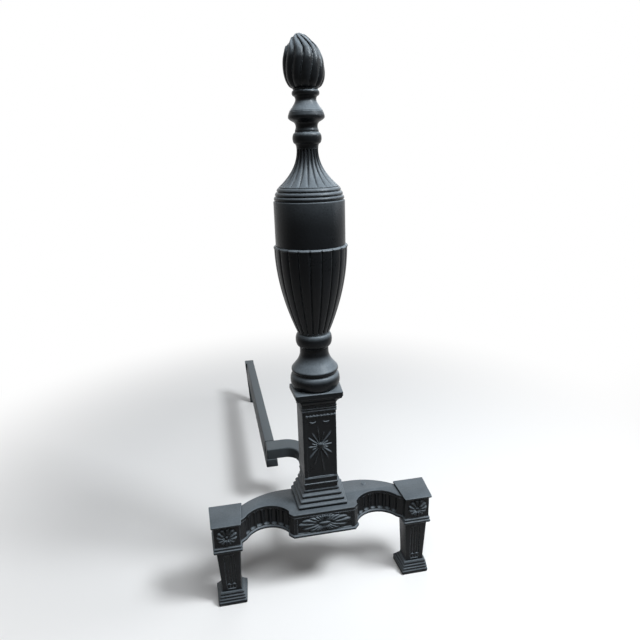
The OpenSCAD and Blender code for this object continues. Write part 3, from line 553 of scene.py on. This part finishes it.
OPEN_Y = 10.0                      # plane of the open backs of pedestal and urn
PANEL_DEEP = 2
base, top = levels("pedestal")
sun_base, sun_top = levels("sunburst_panel")
fillets = [(0, base), (0, base + 5.4), (0.8, base + 6), (0.8, base + 7.6), (0, base + 8.2),
           (0, sun_base - 2.6), (0.8, sun_base - 1.6), (0, sun_base + 0.2), (0, sun_top + 0.1)]
for z in (top - 10.5, top - 7.4, top - 4.2):
    fillets += [(0, z), (0.8, z + 0.5), (0.8, z + 1.7), (0, z + 2.1)]
out, height = np.array(fillets + [(0, top)]).T
across = np.array([-18, -17.2, -16.4, -11, -5.5, 0, 5.5, 11, 16.4, 17.2, 18]) / 20.4
outer = raised(keystone(PED_HALF + out, PED_FRONT + out, OPEN_Y, 0.8, across), height)
face = outer[:, FACE]
face[..., 1] += PANEL_DEEP * sunk(face[..., 0], face[..., 2], 17.4, sun_base - 0.2, sun_top + 0.4, 1.5)
hollow = raised(keystone(PED_HALF - WALL, PED_FRONT - WALL, OPEN_Y, 0.6, across), [top, base])
t = np.linspace(-1, 1, 181)[:, None]
size = 0.6 + 0.9 * np.clip(np.cos(t * math.pi * 8.5) * 1.8, 0, 1) ** 0.5
turn = np.linspace(0, 2 * math.pi, 11)[:-1]
reel = np.stack(np.broadcast_arrays(1.8 + 18.8 * t, -PED_FRONT + size * np.sin(turn) * 0.9,
                                    sun_top + 0.8 + size * np.cos(turn)), axis=-1)
sill = crescent(0, sun_base - 0.4, -PED_FRONT + 0.3, 17, -0.1, 0.9)
piece("pedestal_shaft", "pedestal", BLACK, lined(outer, hollow), closed(reel), sill, sharp=22)

# ---------------------------------------------------------------------------
# Sunburst: ribs of two lengths carved on the panel's floor run from a round boss towards
# its frame, with two small swags above. It is cast in one with the pedestal.

def box_reach(half, up, down):
    """Distance from a point to a rectangle round it, up and down being unequal."""
    return lambda a: np.minimum(half / np.maximum(np.abs(np.cos(a)), 1e-3),
                                np.where(np.sin(a) > 0, up, down)
                                / np.maximum(np.abs(np.sin(a)), 1e-3))


HUB_Z = 210.0                      # height of the boss above the hearth
RAYS, SHORT = 16, 0.72             # every second rib is shorter
panel_y = -PED_FRONT + PANEL_DEEP - 0.9
panel_floor = raised(keystone(16.5, -panel_y, panel_y + 2.6, 0.3), [sun_base, sun_top])
part = np.arange(RAYS * 16) / 16
off = np.abs((part + 0.5) % 1 - 0.5) * 2 * math.pi / RAYS
length = np.where(np.round(part) % 2 == 0, 1.0, SHORT)
angle = part * 2 * math.pi / RAYS + 0.1
s = np.append([0.02, 0.06, 0.1, 0.13, 0.15, 0.16], lines(0.18, 1, step=0.06))[:, None]
far = s * box_reach(16.1, 28, 42)(angle)
rib = 1.7 * np.clip(1 - far * off / (0.9 + far / 14), 0, 1) * np.clip((length - s) / 0.2, 0, 1) ** 0.7
boss = 2.8 * np.sqrt(np.clip(1 - (far / 4.6) ** 2, 0, 1))
ray = np.stack([far * np.cos(angle), panel_y - 0.1 - np.maximum(rib, boss),
                HUB_Z + far * np.sin(angle)], axis=-1)
rays = closed(np.concatenate([ray, ray[-1:] * [1, 0, 1] + [0, panel_y + 0.3, 0]]))
swags = [crescent(x, sun_top - 7, panel_y - 0.4, 4.4, 2.2, 1.7) for x in (-8.5, 8.5)]
piece("sunburst", "sunburst_panel", BLACK, closed(panel_floor), rays, *swags)

# ---------------------------------------------------------------------------
# Pedestal cap: a solid casting, flat behind, with a cyma that sweeps out to a square
# plate. The rod clamps it between the shaft and the urn's foot, which stands on it.

def through(points, count):
    """Smooth line through points: cubic Hermite pieces whose slope at a point is half the
    step from the point before it to the point after it."""
    p = np.asarray(points, float)
    slope = np.gradient(p, axis=0)
    t = np.linspace(0, len(p) - 1, count)
    i = np.minimum(t.astype(int), len(p) - 2)
    t = (t - i)[:, None]
    return (p[i] * (2 * t ** 3 - 3 * t ** 2 + 1) + slope[i] * (t ** 3 - 2 * t ** 2 + t)
            + p[i + 1] * (3 * t ** 2 - 2 * t ** 3) + slope[i + 1] * (t ** 3 - t ** 2))


base, top = levels("pedestal_cap")
cyma = through([(0.6, 0), (1.6, 2.5), (3.9, 5.5), (6.6, 8), (7.0, 10)], 13)
plate = eased([(7.0, 10), (7.9, 10.6), (7.9, 16.2), (6.9, top - base)], 0.9)
out, height = np.concatenate([cyma, plate[1:]]).T
pedestal_cap = raised(keystone(PED_HALF + out, PED_FRONT + out, OPEN_Y, 2.0), base + height)
piece("pedestal_cap_plate", "pedestal_cap", BLACK, closed(pedestal_cap))

# ---------------------------------------------------------------------------
# Urn foot, collar, cup and band: turned patterns, cast about 5 mm thick and open at the
# back, stacked on the rod. The cup has twenty flat staves with a fine groove between them,
# and the band rounds over in three rings.

def open_turning(radius, height, turns, relief=None):
    """Rings of a turning that is flat at the back (levels, columns, 3). Columns stand at
    the given turns from the front, and six more a side reach the plane of the back."""
    reach = math.pi - np.arccos(OPEN_Y / radius)
    more = turns[-1] + (reach[:, None] - turns[-1]) * np.linspace(0, 1, 7)[1:]
    middle = np.broadcast_to(turns, (len(radius), len(turns)))
    angle = np.concatenate([-more[:, ::-1], middle, more], axis=1)
    r = np.broadcast_to(radius[:, None], angle.shape)
    if relief is not None:
        r = r - relief(angle, r, height[:, None]) * (np.abs(angle) <= turns[-1])
    return np.stack([r * np.sin(angle), -r * np.cos(angle),
                     np.broadcast_to(height[:, None], angle.shape)], axis=-1)


def urn_shell(outer, inner, turns, relief=None):
    """Closed wall of an open-backed turning: up its outside and down its inside."""
    outer, inner = np.asarray(outer, float), np.asarray(inner, float)[::-1]
    skin = np.concatenate([open_turning(*outer.T, turns, relief),
                           open_turning(*inner.T, turns)])
    return closed(skin.transpose(1, 0, 2))


def roll(r, depth, low, high, count):
    """Half-round moulding between two heights, at turns a of up to 84 degrees: its radius
    is r - depth + depth cos a, and its height goes by sin a."""
    a = np.radians(np.linspace(-84, 84, count))
    middle, half = (low + high) / 2, (high - low) / 2
    return np.stack([r - depth + depth * np.cos(a), middle + half * np.sin(a) / math.sin(a[-1])],
                    axis=1)


HALF_SPAN = math.radians(96)       # turn to either side that the columns cover evenly
PLAIN = np.linspace(-HALF_SPAN, HALF_SPAN, 65)
lift = [0, levels("urn_foot")[0]]
bell = through([(27.7, 21.2), (28.9, 22.6), (28.7, 25), (26.6, 27.6), (23.9, 31), (21.0, 35),
                (18.7, 40), (17.7, 45), (17.6, 52)], 41)
ring = np.concatenate([[(26.4, 0)], roll(30.8, 4.6, 0.5, 18.8, 13),
                       eased([(27.4, 19.2), (27.2, 20.4), (27.7, 21.2)], 0.4)[:-1]])
urn_foot = urn_shell(np.concatenate([ring, bell]) + lift,
                     np.array([(20, 0), (23, 12), (21, 24), (14.5, 34), (11.3, 42), (11.1, 52)])
                     + lift, PLAIN)
piece("urn_foot_casting", "urn_foot", BLACK, urn_foot)

lift = [0, levels("urn_collar")[0]]
collar = np.concatenate([[(17.6, 0), (18.0, 0.5)], roll(22.2, 3.9, 1.4, 18.2, 15),
                         [(19.6, 18.9), (19.2, 20)]])
piece("urn_collar_casting", "urn_collar", BLACK,
      urn_shell(collar + lift, np.array([(11.1, 0), (14, 10), (13, 20)]) + lift, PLAIN))

STAVES = 20
STAVE_TURN = 2 * math.pi / STAVES
GROOVE_TURN = math.radians(-2)
groove = (np.arange(-6, 6) + 0.5) * STAVE_TURN + GROOVE_TURN
beside = np.radians([-8, -5.5, -3.6, -2.6, -1.9, -1.3, -0.75, -0.3, 0, 0.3, 0.75, 1.3, 1.9, 2.6,
                     3.6, 5.5, 8])
STAVE_TURNS = (groove[:, None] + beside).ravel()
STAVE_TURNS = STAVE_TURNS[np.abs(STAVE_TURNS) < HALF_SPAN]


def grooved(depth, width, start, stop):
    """Groove between staves: depth exp(-(d / width)^2) at d millimetres from its middle,
    and the stave falls off by the fourth power towards it. Both fade in and out."""
    def relief(angle, r, z):
        off = (angle - GROOVE_TURN) % STAVE_TURN - STAVE_TURN / 2
        cut = depth * np.exp(-(off * r / width) ** 2)
        crown = 0.5 * (1 - np.abs(off) / STAVE_TURN * 2) ** 4
        fade = np.clip((z - start) / 1.5, 0, 1) * np.clip((stop - z) / 1.5, 0, 1)
        return (cut + crown) * np.sqrt(fade)
    return relief


base, top = levels("urn_cup")
tall = top - base - 3
t = np.concatenate([[0, 0.006, 0.012, 0.018], np.linspace(0.03, 0.97, 44), [0.98, 0.988, 1.0]])
bowl = np.stack([19.8 + 22.5 * (1 - (1 - t) ** 1.9), tall * t], axis=1)
lip = eased([(42.3, tall), (42.3, tall + 0.1), (43.0, tall + 0.6), (43.0, tall + 1.3),
             (41.2, tall + 3)], 0.8)
inner = [(13, 0), (17, 8), (22, 25), (27, 43), (31, 63), (33, 92), (33, tall + 3)]
cup = urn_shell(np.concatenate([bowl, lip[1:]]) + [0, base], np.array(inner) + [0, base],
                STAVE_TURNS, grooved(1.35, 0.75, base + 0.6, base + tall + 1.8))
piece("urn_cup_casting", "urn_cup", BLACK, cup)

lift = [0, levels("urn_band")[0]]
plain, domed = 50.6, 14.4          # heights of the plain part and of the three rings
t = np.linspace(0, 1, 61)
swell = 0.6 * (1 - ((t * 3) % 1 * 2 - 1) ** 2)
cut = 1.3 * np.exp(-(((t * 3 + 0.5) % 1 - 0.5) / 0.1) ** 2)
rings = np.stack([39.3 - 5.6 * t ** 1.5 + swell - cut, plain + domed * t], axis=1)
band = np.concatenate([[(39.9, 0), (40.4, 0.5), (40.4, plain - 1.6), (39.9, plain - 0.7)], rings])
inner = [(33, 0), (33, plain), (28, plain + 9.6), (25, plain + domed)]
piece("urn_band_casting", "urn_band", BLACK,
      urn_shell(band + lift, np.array(inner) + lift, PLAIN))

# ---------------------------------------------------------------------------
# Urn shoulder: a solid concave casting with the cup's staves drawn in to the neck, flat
# at the back where the urn is open.

base, top = levels("urn_shoulder")
t = np.concatenate([[0, 0.01, 0.02, 0.03], np.linspace(0.05, 1, 36)])
shoulder = open_turning(12 + 21.8 * (1 - t) ** 2.15, base + (top - base) * t, STAVE_TURNS,
                        grooved(1.6, 1.05, base + 0.4, top + 4))
piece("urn_shoulder_casting", "urn_shoulder", BLACK, closed(shoulder))

# ---------------------------------------------------------------------------
# Finial neck: a small collar, a ridged knob and the ring that holds the flame, cast solid
# from one full-round turned pattern, with the rod through its middle.

def lathe(profile, columns=72):
    """Rings of a full-round turning: a circle of each radius in the profile, at its height."""
    turn = np.arange(columns) * 2 * math.pi / columns
    plan = np.stack([np.sin(turn), -np.cos(turn)], axis=1)
    profile = np.asarray(profile, float)
    return raised(plan * profile[:, :1, None], profile[:, 1])


neck = np.concatenate([
    through([(12, 0), (12.2, 2.5), (12.9, 5)], 5)[:-1],
    roll(16, 3.2, 5.0, 17.0, 15), [(13.2, 17.6), (12.9, 19.2)],
    through([(12.9, 19.2), (12.2, 21.2), (12, 23.2), (12.4, 25.4), (13.6, 27.2)], 11)[1:],
    eased([(13.6, 27.2), (17.4, 29.2), (19.8, 31.2), (20, 33.4), (18.7, 37.4)], 1.4)[1:-1],
    [(18.6, 37.7), (18.0, 38.1), (18.2, 38.6)],
    through([(18.2, 38.6), (16.8, 40.6), (14.4, 43.6), (12.4, 46.8), (11.4, 49.4), (11.5, 51.4),
             (12.2, 53)], 21)[1:],
    roll(14.9, 2.2, 53.4, 59.4, 9), [(13.8, 60.5)]])
r, height = neck.T
neck[:, 0] = r + 0.09 * np.sin(height * 3.1) * (height > 38.6) * (height < 50)    # turning marks
piece("finial_neck_casting", "finial_neck", BLACK,
      closed(lathe(neck + [0, levels("finial_neck")[0]])))

# ---------------------------------------------------------------------------
# Flame: twelve rounded tongues that twist up round a full core to tips at different
# heights, the whole leaning to the left. It is cast solid and tapped for the rod.

base, top = levels("flame")
CORE, LEAN = 0.83, 5               # core's share of the radius, and how far the tip leans
TIPS = np.array([0.92, 1, 1, 0.95, 0.84, 0.97, 0.88, 1, 0.8, 0.93, 0.86, 0.77])    # tips' heights
level = np.sin(np.linspace(0, math.pi / 2, 72))[:, None]
envelope = through([(15.4, 0), (19.2, 0.1), (21.2, 0.2), (22.2, 0.34), (21.8, 0.5), (20.1, 0.62),
                    (17.0, 0.75), (12.6, 0.85), (8.2, 0.93), (4.6, 0.975), (0.3, 1)], 400)
pitch = 2 * math.pi / len(TIPS)
angle = np.linspace(0, 2 * math.pi, len(TIPS) * 16 + 1)[:-1]
twist = np.radians(75 * level ** 2 - 108 * level ** 5)
middles = np.arange(len(TIPS)) * pitch - 1.21 + twist
off = (angle[:, None] - middles[:, None] + math.pi) % (2 * math.pi) - math.pi
width = 0.52 * pitch * np.clip((TIPS - level) / 0.3, 0, 1)[:, None] ** 0.45
tongue = np.sqrt(np.clip(1 - (off / np.maximum(width, 1e-4)) ** 2, 0, 1)).max(axis=2)
r = np.interp(level, envelope[:, 1], envelope[:, 0])
r = r * (CORE + (1 - CORE) * tongue * np.clip(level / 0.04, 0, 1) ** 0.5)
flame = np.stack(np.broadcast_arrays(r * np.sin(angle) - LEAN * level ** 1.6, -r * np.cos(angle),
                                     base + (top - base) * level), axis=-1)
piece("flame_casting", "flame", BLACK, closed(flame), sharp=60)

# ---------------------------------------------------------------------------
# Clamp rod, nut and washer: plain steel fasteners. The rod is threaded at its lower end,
# and the nut and washer draw the whole column down on the bar's arm.

def bare_steel(name):
    """Dull steel, darkened by oil in clouds and speckled with rust between them."""
    material = bpy.data.materials.new(name)
    steel = Finish(material)
    place = steel.node("TexCoord", output="Object")
    clouds = steel.noise(place, 0.006, 4)
    specks = steel.noise(place, 0.0011, 2)
    rust = ((specks - 0.56) * 7).held()
    tone = steel.node("Mix", {"data_type": "RGBA"}, {
        "Factor": clouds, 6: (0.13, 0.13, 0.132, 1), 7: (0.3, 0.3, 0.295, 1)}, output=2)
    skin = steel.node("Mix", {"data_type": "RGBA"}, {
        "Factor": rust * 0.7, 6: tone, 7: (0.075, 0.04, 0.024, 1)}, output=2)
    relief = steel.node("Bump", {}, {"Strength": 0.6, "Distance": 0.00006,
                                     "Height": specks + clouds * 0.5})
    shine = steel.node("BsdfPrincipled", {}, {
        "Base Color": skin, "Normal": relief, "Metallic": 1 - rust * 0.8,
        "Roughness": 0.36 + clouds * 0.16 + rust * 0.3})
    steel.node("OutputMaterial", {}, {"Surface": shine})
    return material


STEEL = bare_steel("plain_steel_oiled")
THREADED, THREAD_PITCH = 26, 1.25  # length of the thread, and its rise in one turn
BORE = 4.2                         # radius of the holes that the rod passes
base, top = levels("tie_rod")
height = np.concatenate([lines(base + 0.5, base + THREADED, step=0.12),
                         [base + THREADED + 1, top]])[:, None]
turn = np.arange(24) * 2 * math.pi / 24
wave = np.abs(((height / THREAD_PITCH + turn / (2 * math.pi)) % 1) * 2 - 1)
r = 4 - 0.62 * wave * np.clip((base + THREADED - height) / 1.5, 0, 1)
rod = np.stack([r * np.sin(turn), -r * np.cos(turn), np.broadcast_to(height, r.shape)], axis=-1)
tip = rod[:1] * [0.8, 0.8, 1] - [0, 0, 0.5]
piece("clamp_rod", "tie_rod", STEEL, closed(np.concatenate([tip, rod])), slot="plain_steel")

NUT_HALF, NUT_TALL = 6.5, 6.5      # half its width over the flats, and its height
turn = np.radians(np.arange(0, 360, 5.0))
flat = NUT_HALF / np.cos((turn + math.pi / 6) % (math.pi / 3) - math.pi / 6)
height = np.array([0, 0.35, 0.8, 1.3, 5.2, 5.7, 6.15, NUT_TALL])
bevel = NUT_HALF - 0.05 + 2.4 * np.minimum(height, NUT_TALL - height) ** 0.8
r = np.minimum(flat, bevel[:, None])
r = np.concatenate([r, np.full((2, len(turn)), BORE)])
height = np.append(height, [NUT_TALL, 0]) + levels("rod_nut")[0]
nut = np.stack([r * np.cos(turn), r * np.sin(turn), np.broadcast_to(height[:, None], r.shape)],
               axis=-1)
piece("clamp_nut", "rod_nut", STEEL, closed(nut, looped=True), slot="plain_steel")

section = eased([(BORE, 0), (9, 0), (9, 1.6), (BORE, 1.6)], 0.25, looped=True)
washer = lathe(section + [0, levels("rod_washer")[0]], 48)
piece("clamp_washer", "rod_washer", STEEL, closed(washer, looped=True), slot="plain_steel")

# ---------------------------------------------------------------------------
# Bar and its arm: heavy iron in a thinner, drier coat of the same paint, paler where the fire and the
# logs have worn it, and like the black castings painted paler along its edges and on what faces up,
# partly as wear and dust and partly as painted highlights. The flat arm runs back from the rod, bends
# to the left and laps over the bar's front end, where a blind pin from beneath locks the two.

DRY = stove_paint("dry_bar_paint", (0.056, 0.063, 0.068, 1), (0.034, 0.039, 0.043, 1),
                  0.46, 0.14, (0.12, 0.133, 0.14, 1), (0.125, 0.14, 0.15, 1))
arm_low, arm_high = span("bar_arm")
LAP, ARM_W, BEND = 28.5, 16.0, 36.0   # lap on the bar, width, and the bend's outer radius
left, far_y = arm_low[0], arm_high[1]
bar_y = far_y - LAP
quarter = np.linspace(0, math.pi / 2, 13)
bend = np.stack([np.cos(quarter), np.sin(quarter)], axis=1)
outer = np.array([ARM_W / 2 - BEND, far_y - BEND]) + bend * BEND
inner = np.array([ARM_W / 2 - BEND, bar_y - BEND + ARM_W]) + bend[::-1] * (BEND - ARM_W)
plan = np.concatenate([[(ARM_W / 2, 0)], outer,
                       eased([outer[-1], (left, far_y), (left, bar_y), inner[0]], 2.5)[1:],
                       inner[1:], [(-ARM_W / 2, 0)]])
edge = eased([(-1.4, 0), (0, 1.0), (0, 17.2), (-1.6, 18.5)], 1.2)
arm = moulded(plan, edge + [0, arm_low[2]])
eye = moulded(circle * ROD_BOSS, edge + [0, arm_low[2]])
piece("bar_arm_iron", "bar_arm", DRY, closed(arm), closed(eye), slot="bar_iron")


BAR_X, BAR_HALF = -49.3, 9.5       # middle of the bar's front end, and half its width below
SPLAY = math.radians(1.4)          # the bar runs outwards as it goes back
bar_base, bar_top = levels("billet_bar")
end_y = span("rear_leg")[0][1]


def bar_section(top):
    """Section of the bar cut off level at a height, narrowing evenly from its underside."""
    half = BAR_HALF - 1.7 * (top - bar_base) / (bar_top - bar_base)
    return eased([(-BAR_HALF, bar_base), (BAR_HALF, bar_base), (half, top), (-half, top)], 1.6,
                 looped=True)


lapped, full = bar_section(arm_low[2]), bar_section(bar_top)
blunt = (lapped - lapped.mean(axis=0)) * [0.9, 0.88] + lapped.mean(axis=0)
stations = [(bar_y, blunt), (bar_y + 0.9, lapped), (far_y - 0.05, lapped), (far_y + 0.05, full)]
stations += [(y, full) for y in np.linspace(far_y + 20, end_y + 0.2, 16)]
bar = np.stack([np.insert(section + [BAR_X - math.tan(SPLAY) * (y - bar_y), 0], 1, y, axis=1)
                for y, section in stations])
piece("billet_bar_iron", "billet_bar", DRY, closed(bar), slot="bar_iron")

pin_low, pin_high = span("bar_pin")
pin = lathe(eased([(0.2, 0.3), (3.6, 0.3), (4, 0.8), (4, 27.4), (3.6, 28)], 0.3)
            + [0, pin_low[2]], 32) + [*(pin_low + pin_high)[:2] / 2, 0]
piece("lap_pin", "bar_pin", DRY, closed(pin), slot="bar_iron")

# ---------------------------------------------------------------------------
# Rear leg: one drop of iron at the bar's far end, tapered both ways to the hearth and
# flush with the bar's right side.

right_x, back_y, top = span("rear_leg")[1]
z = np.concatenate([[0, 0.7], lines(8, 72, top - 1, step=8), [top]])
pinch = np.where((z == 0) | (z == top), 0.8, 0)
right = right_x - 1.2 * (1 - z / top) - pinch
left = right - 12.5 - 7.1 * z / top + 2 * pinch
front = back_y - np.minimum(9 + 9 * z / 72, 18) + pinch
loops = [eased([(x1, y1), (x0, y1), (x0, y0), (x1, y0)], 1.8, looped=True)
         for x0, x1, y0, y1 in zip(left, right, front, back_y - pinch)]
piece("rear_leg_iron", "rear_leg", DRY, closed(raised(np.stack(loops), z)), slot="bar_iron")

# ---------------------------------------------------------------------------
# Floor, light and camera: a pale floor that fades into a white backdrop behind the andiron
# and a dimmer one before it, soft lights behind it, over its front and at its right with a
# stronger one high between them, and a view from above and to its left.

DIM, FILL = 0.35, 0.1              # the studio's dim side, and the light it gives off
BACKDROP = (0.1, 0.995, 0)         # the way to the middle of the white backdrop
COOL = (0.88, 0.95, 1.0)


def studio(finish, way):
    """Brightness of the studio that way: DIM in front of the andiron, and white towards
    the backdrop."""
    facing = finish.node("VectorMath", {"operation": "DOT_PRODUCT"}, {0: way, 1: BACKDROP},
                         output="Value")
    return DIM + facing.ramp(-0.5, 0.4) * (1 - DIM)


def seen(finish):
    """1 for what the camera, a reflection or glass shows, and 0 for what only lights."""
    return sum(finish.node("LightPath", output=f"Is {kind} Ray")
               for kind in ("Camera", "Glossy", "Transmission"))


floor_mesh = bpy.data.meshes.new("floor")
floor_mesh.from_pydata([(-12, -12, 0), (12, -12, 0), (12, 12, 0), (-12, 12, 0)], [], [(0, 1, 2, 3)])
floor = bpy.data.objects.new("floor", floor_mesh)
bpy.context.scene.collection.objects.link(floor)
floor_finish = bpy.data.materials.new("pale_floor")
pale = Finish(floor_finish)
place = pale.node("TexCoord", output="Object")
away = pale.node("VectorMath", {"operation": "LENGTH"}, {0: place}, output="Value")
near = 1 - away.ramp(0.62, 1.2)
lit = studio(pale, pale.node("VectorMath", {"operation": "NORMALIZE"}, {0: place}))
lit = lit + (1 - lit) * near
tone = pale.node("Mix", {"data_type": "RGBA"}, {
    "Factor": seen(pale) * lit, 6: (FILL, FILL, FILL, 1), 7: (0.77, 0.735, 0.715, 1)}, output=2)
chalk = pale.node("BsdfDiffuse", {}, {"Color": tone})
white = pale.node("Emission", {}, {"Strength": seen(pale) * (lit - FILL) + FILL})
mixed = pale.node("MixShader", {}, {"Fac": away.ramp(0.3, 0.85), 1: chalk, 2: white})
pale.node("OutputMaterial", {}, {"Surface": mixed})
floor_mesh.materials.append(floor_finish)

bpy.context.scene.world = bpy.data.worlds.new("room")
room = Finish(bpy.context.scene.world)
lit = studio(room, room.node("TexCoord", output="Object"))
backdrop = room.node("Background", {}, {"Color": (1, 1, 1, 1),
                                        "Strength": seen(room) * (lit - FILL) + FILL})
room.node("OutputWorld", {}, {"Surface": backdrop})


def softbox(name, place, aim, width, height, glow, tint):
    """Rectangular lamp at place that faces aim; glow is its brightness beside white."""
    lamp = bpy.data.lights.new(name, "AREA")
    lamp.shape, lamp.size, lamp.size_y = "RECTANGLE", width, height
    lamp.energy, lamp.color = glow * math.pi * width * height, tint
    made = bpy.data.objects.new(name, lamp)
    turn = (Vector(place) - Vector(aim)).to_track_quat("Z", "Y")
    made.matrix_world = Matrix.LocRotScale(place, turn, None)
    bpy.context.scene.collection.objects.link(made)


softbox("back_box", (0.5, 1.7, 1.45), (0, -0.2, 0.15), 1.9, 0.9, 1.8, (0.86, 0.94, 1.0))
softbox("top_box", (0.1, -0.85, 1.8), (0, -0.25, 0.35), 1.0, 0.5, 9.5, COOL)
softbox("key_box", (0.72, -0.68, 1.37), (0, -0.25, 0.35), 0.35, 0.35, 60.0, COOL)
softbox("side_box", (1.5, -0.35, 1.2), (0, -0.25, 0.4), 0.5, 1.1, 3.2, COOL)

PITCH, YAW, ROLL = 0.3078, 0.1813, 0.0297
forward = np.array([math.sin(YAW) * math.cos(PITCH), math.cos(YAW) * math.cos(PITCH),
                    -math.sin(PITCH)])
level_right = np.array([math.cos(YAW), -math.sin(YAW), 0])
down = np.cross(forward, level_right)
right = math.cos(ROLL) * level_right + math.sin(ROLL) * down
down = math.cos(ROLL) * down - math.sin(ROLL) * level_right
lens = bpy.data.cameras.new("photograph")
lens.lens, lens.sensor_width, lens.sensor_fit = 29.68, 36, "HORIZONTAL"
lens.clip_start = 0.01
camera = bpy.data.objects.new("photograph", lens)
stand = np.eye(4)
stand[:3, :3] = np.stack([right, -down, -forward], axis=1)
stand[:3, 3] = (-0.10161, -0.8575, 0.56305)
camera.matrix_world = Matrix(stand.tolist())
bpy.context.scene.collection.objects.link(camera)
bpy.context.scene.camera = camera
bpy.context.scene.view_settings.view_transform = "Standard"
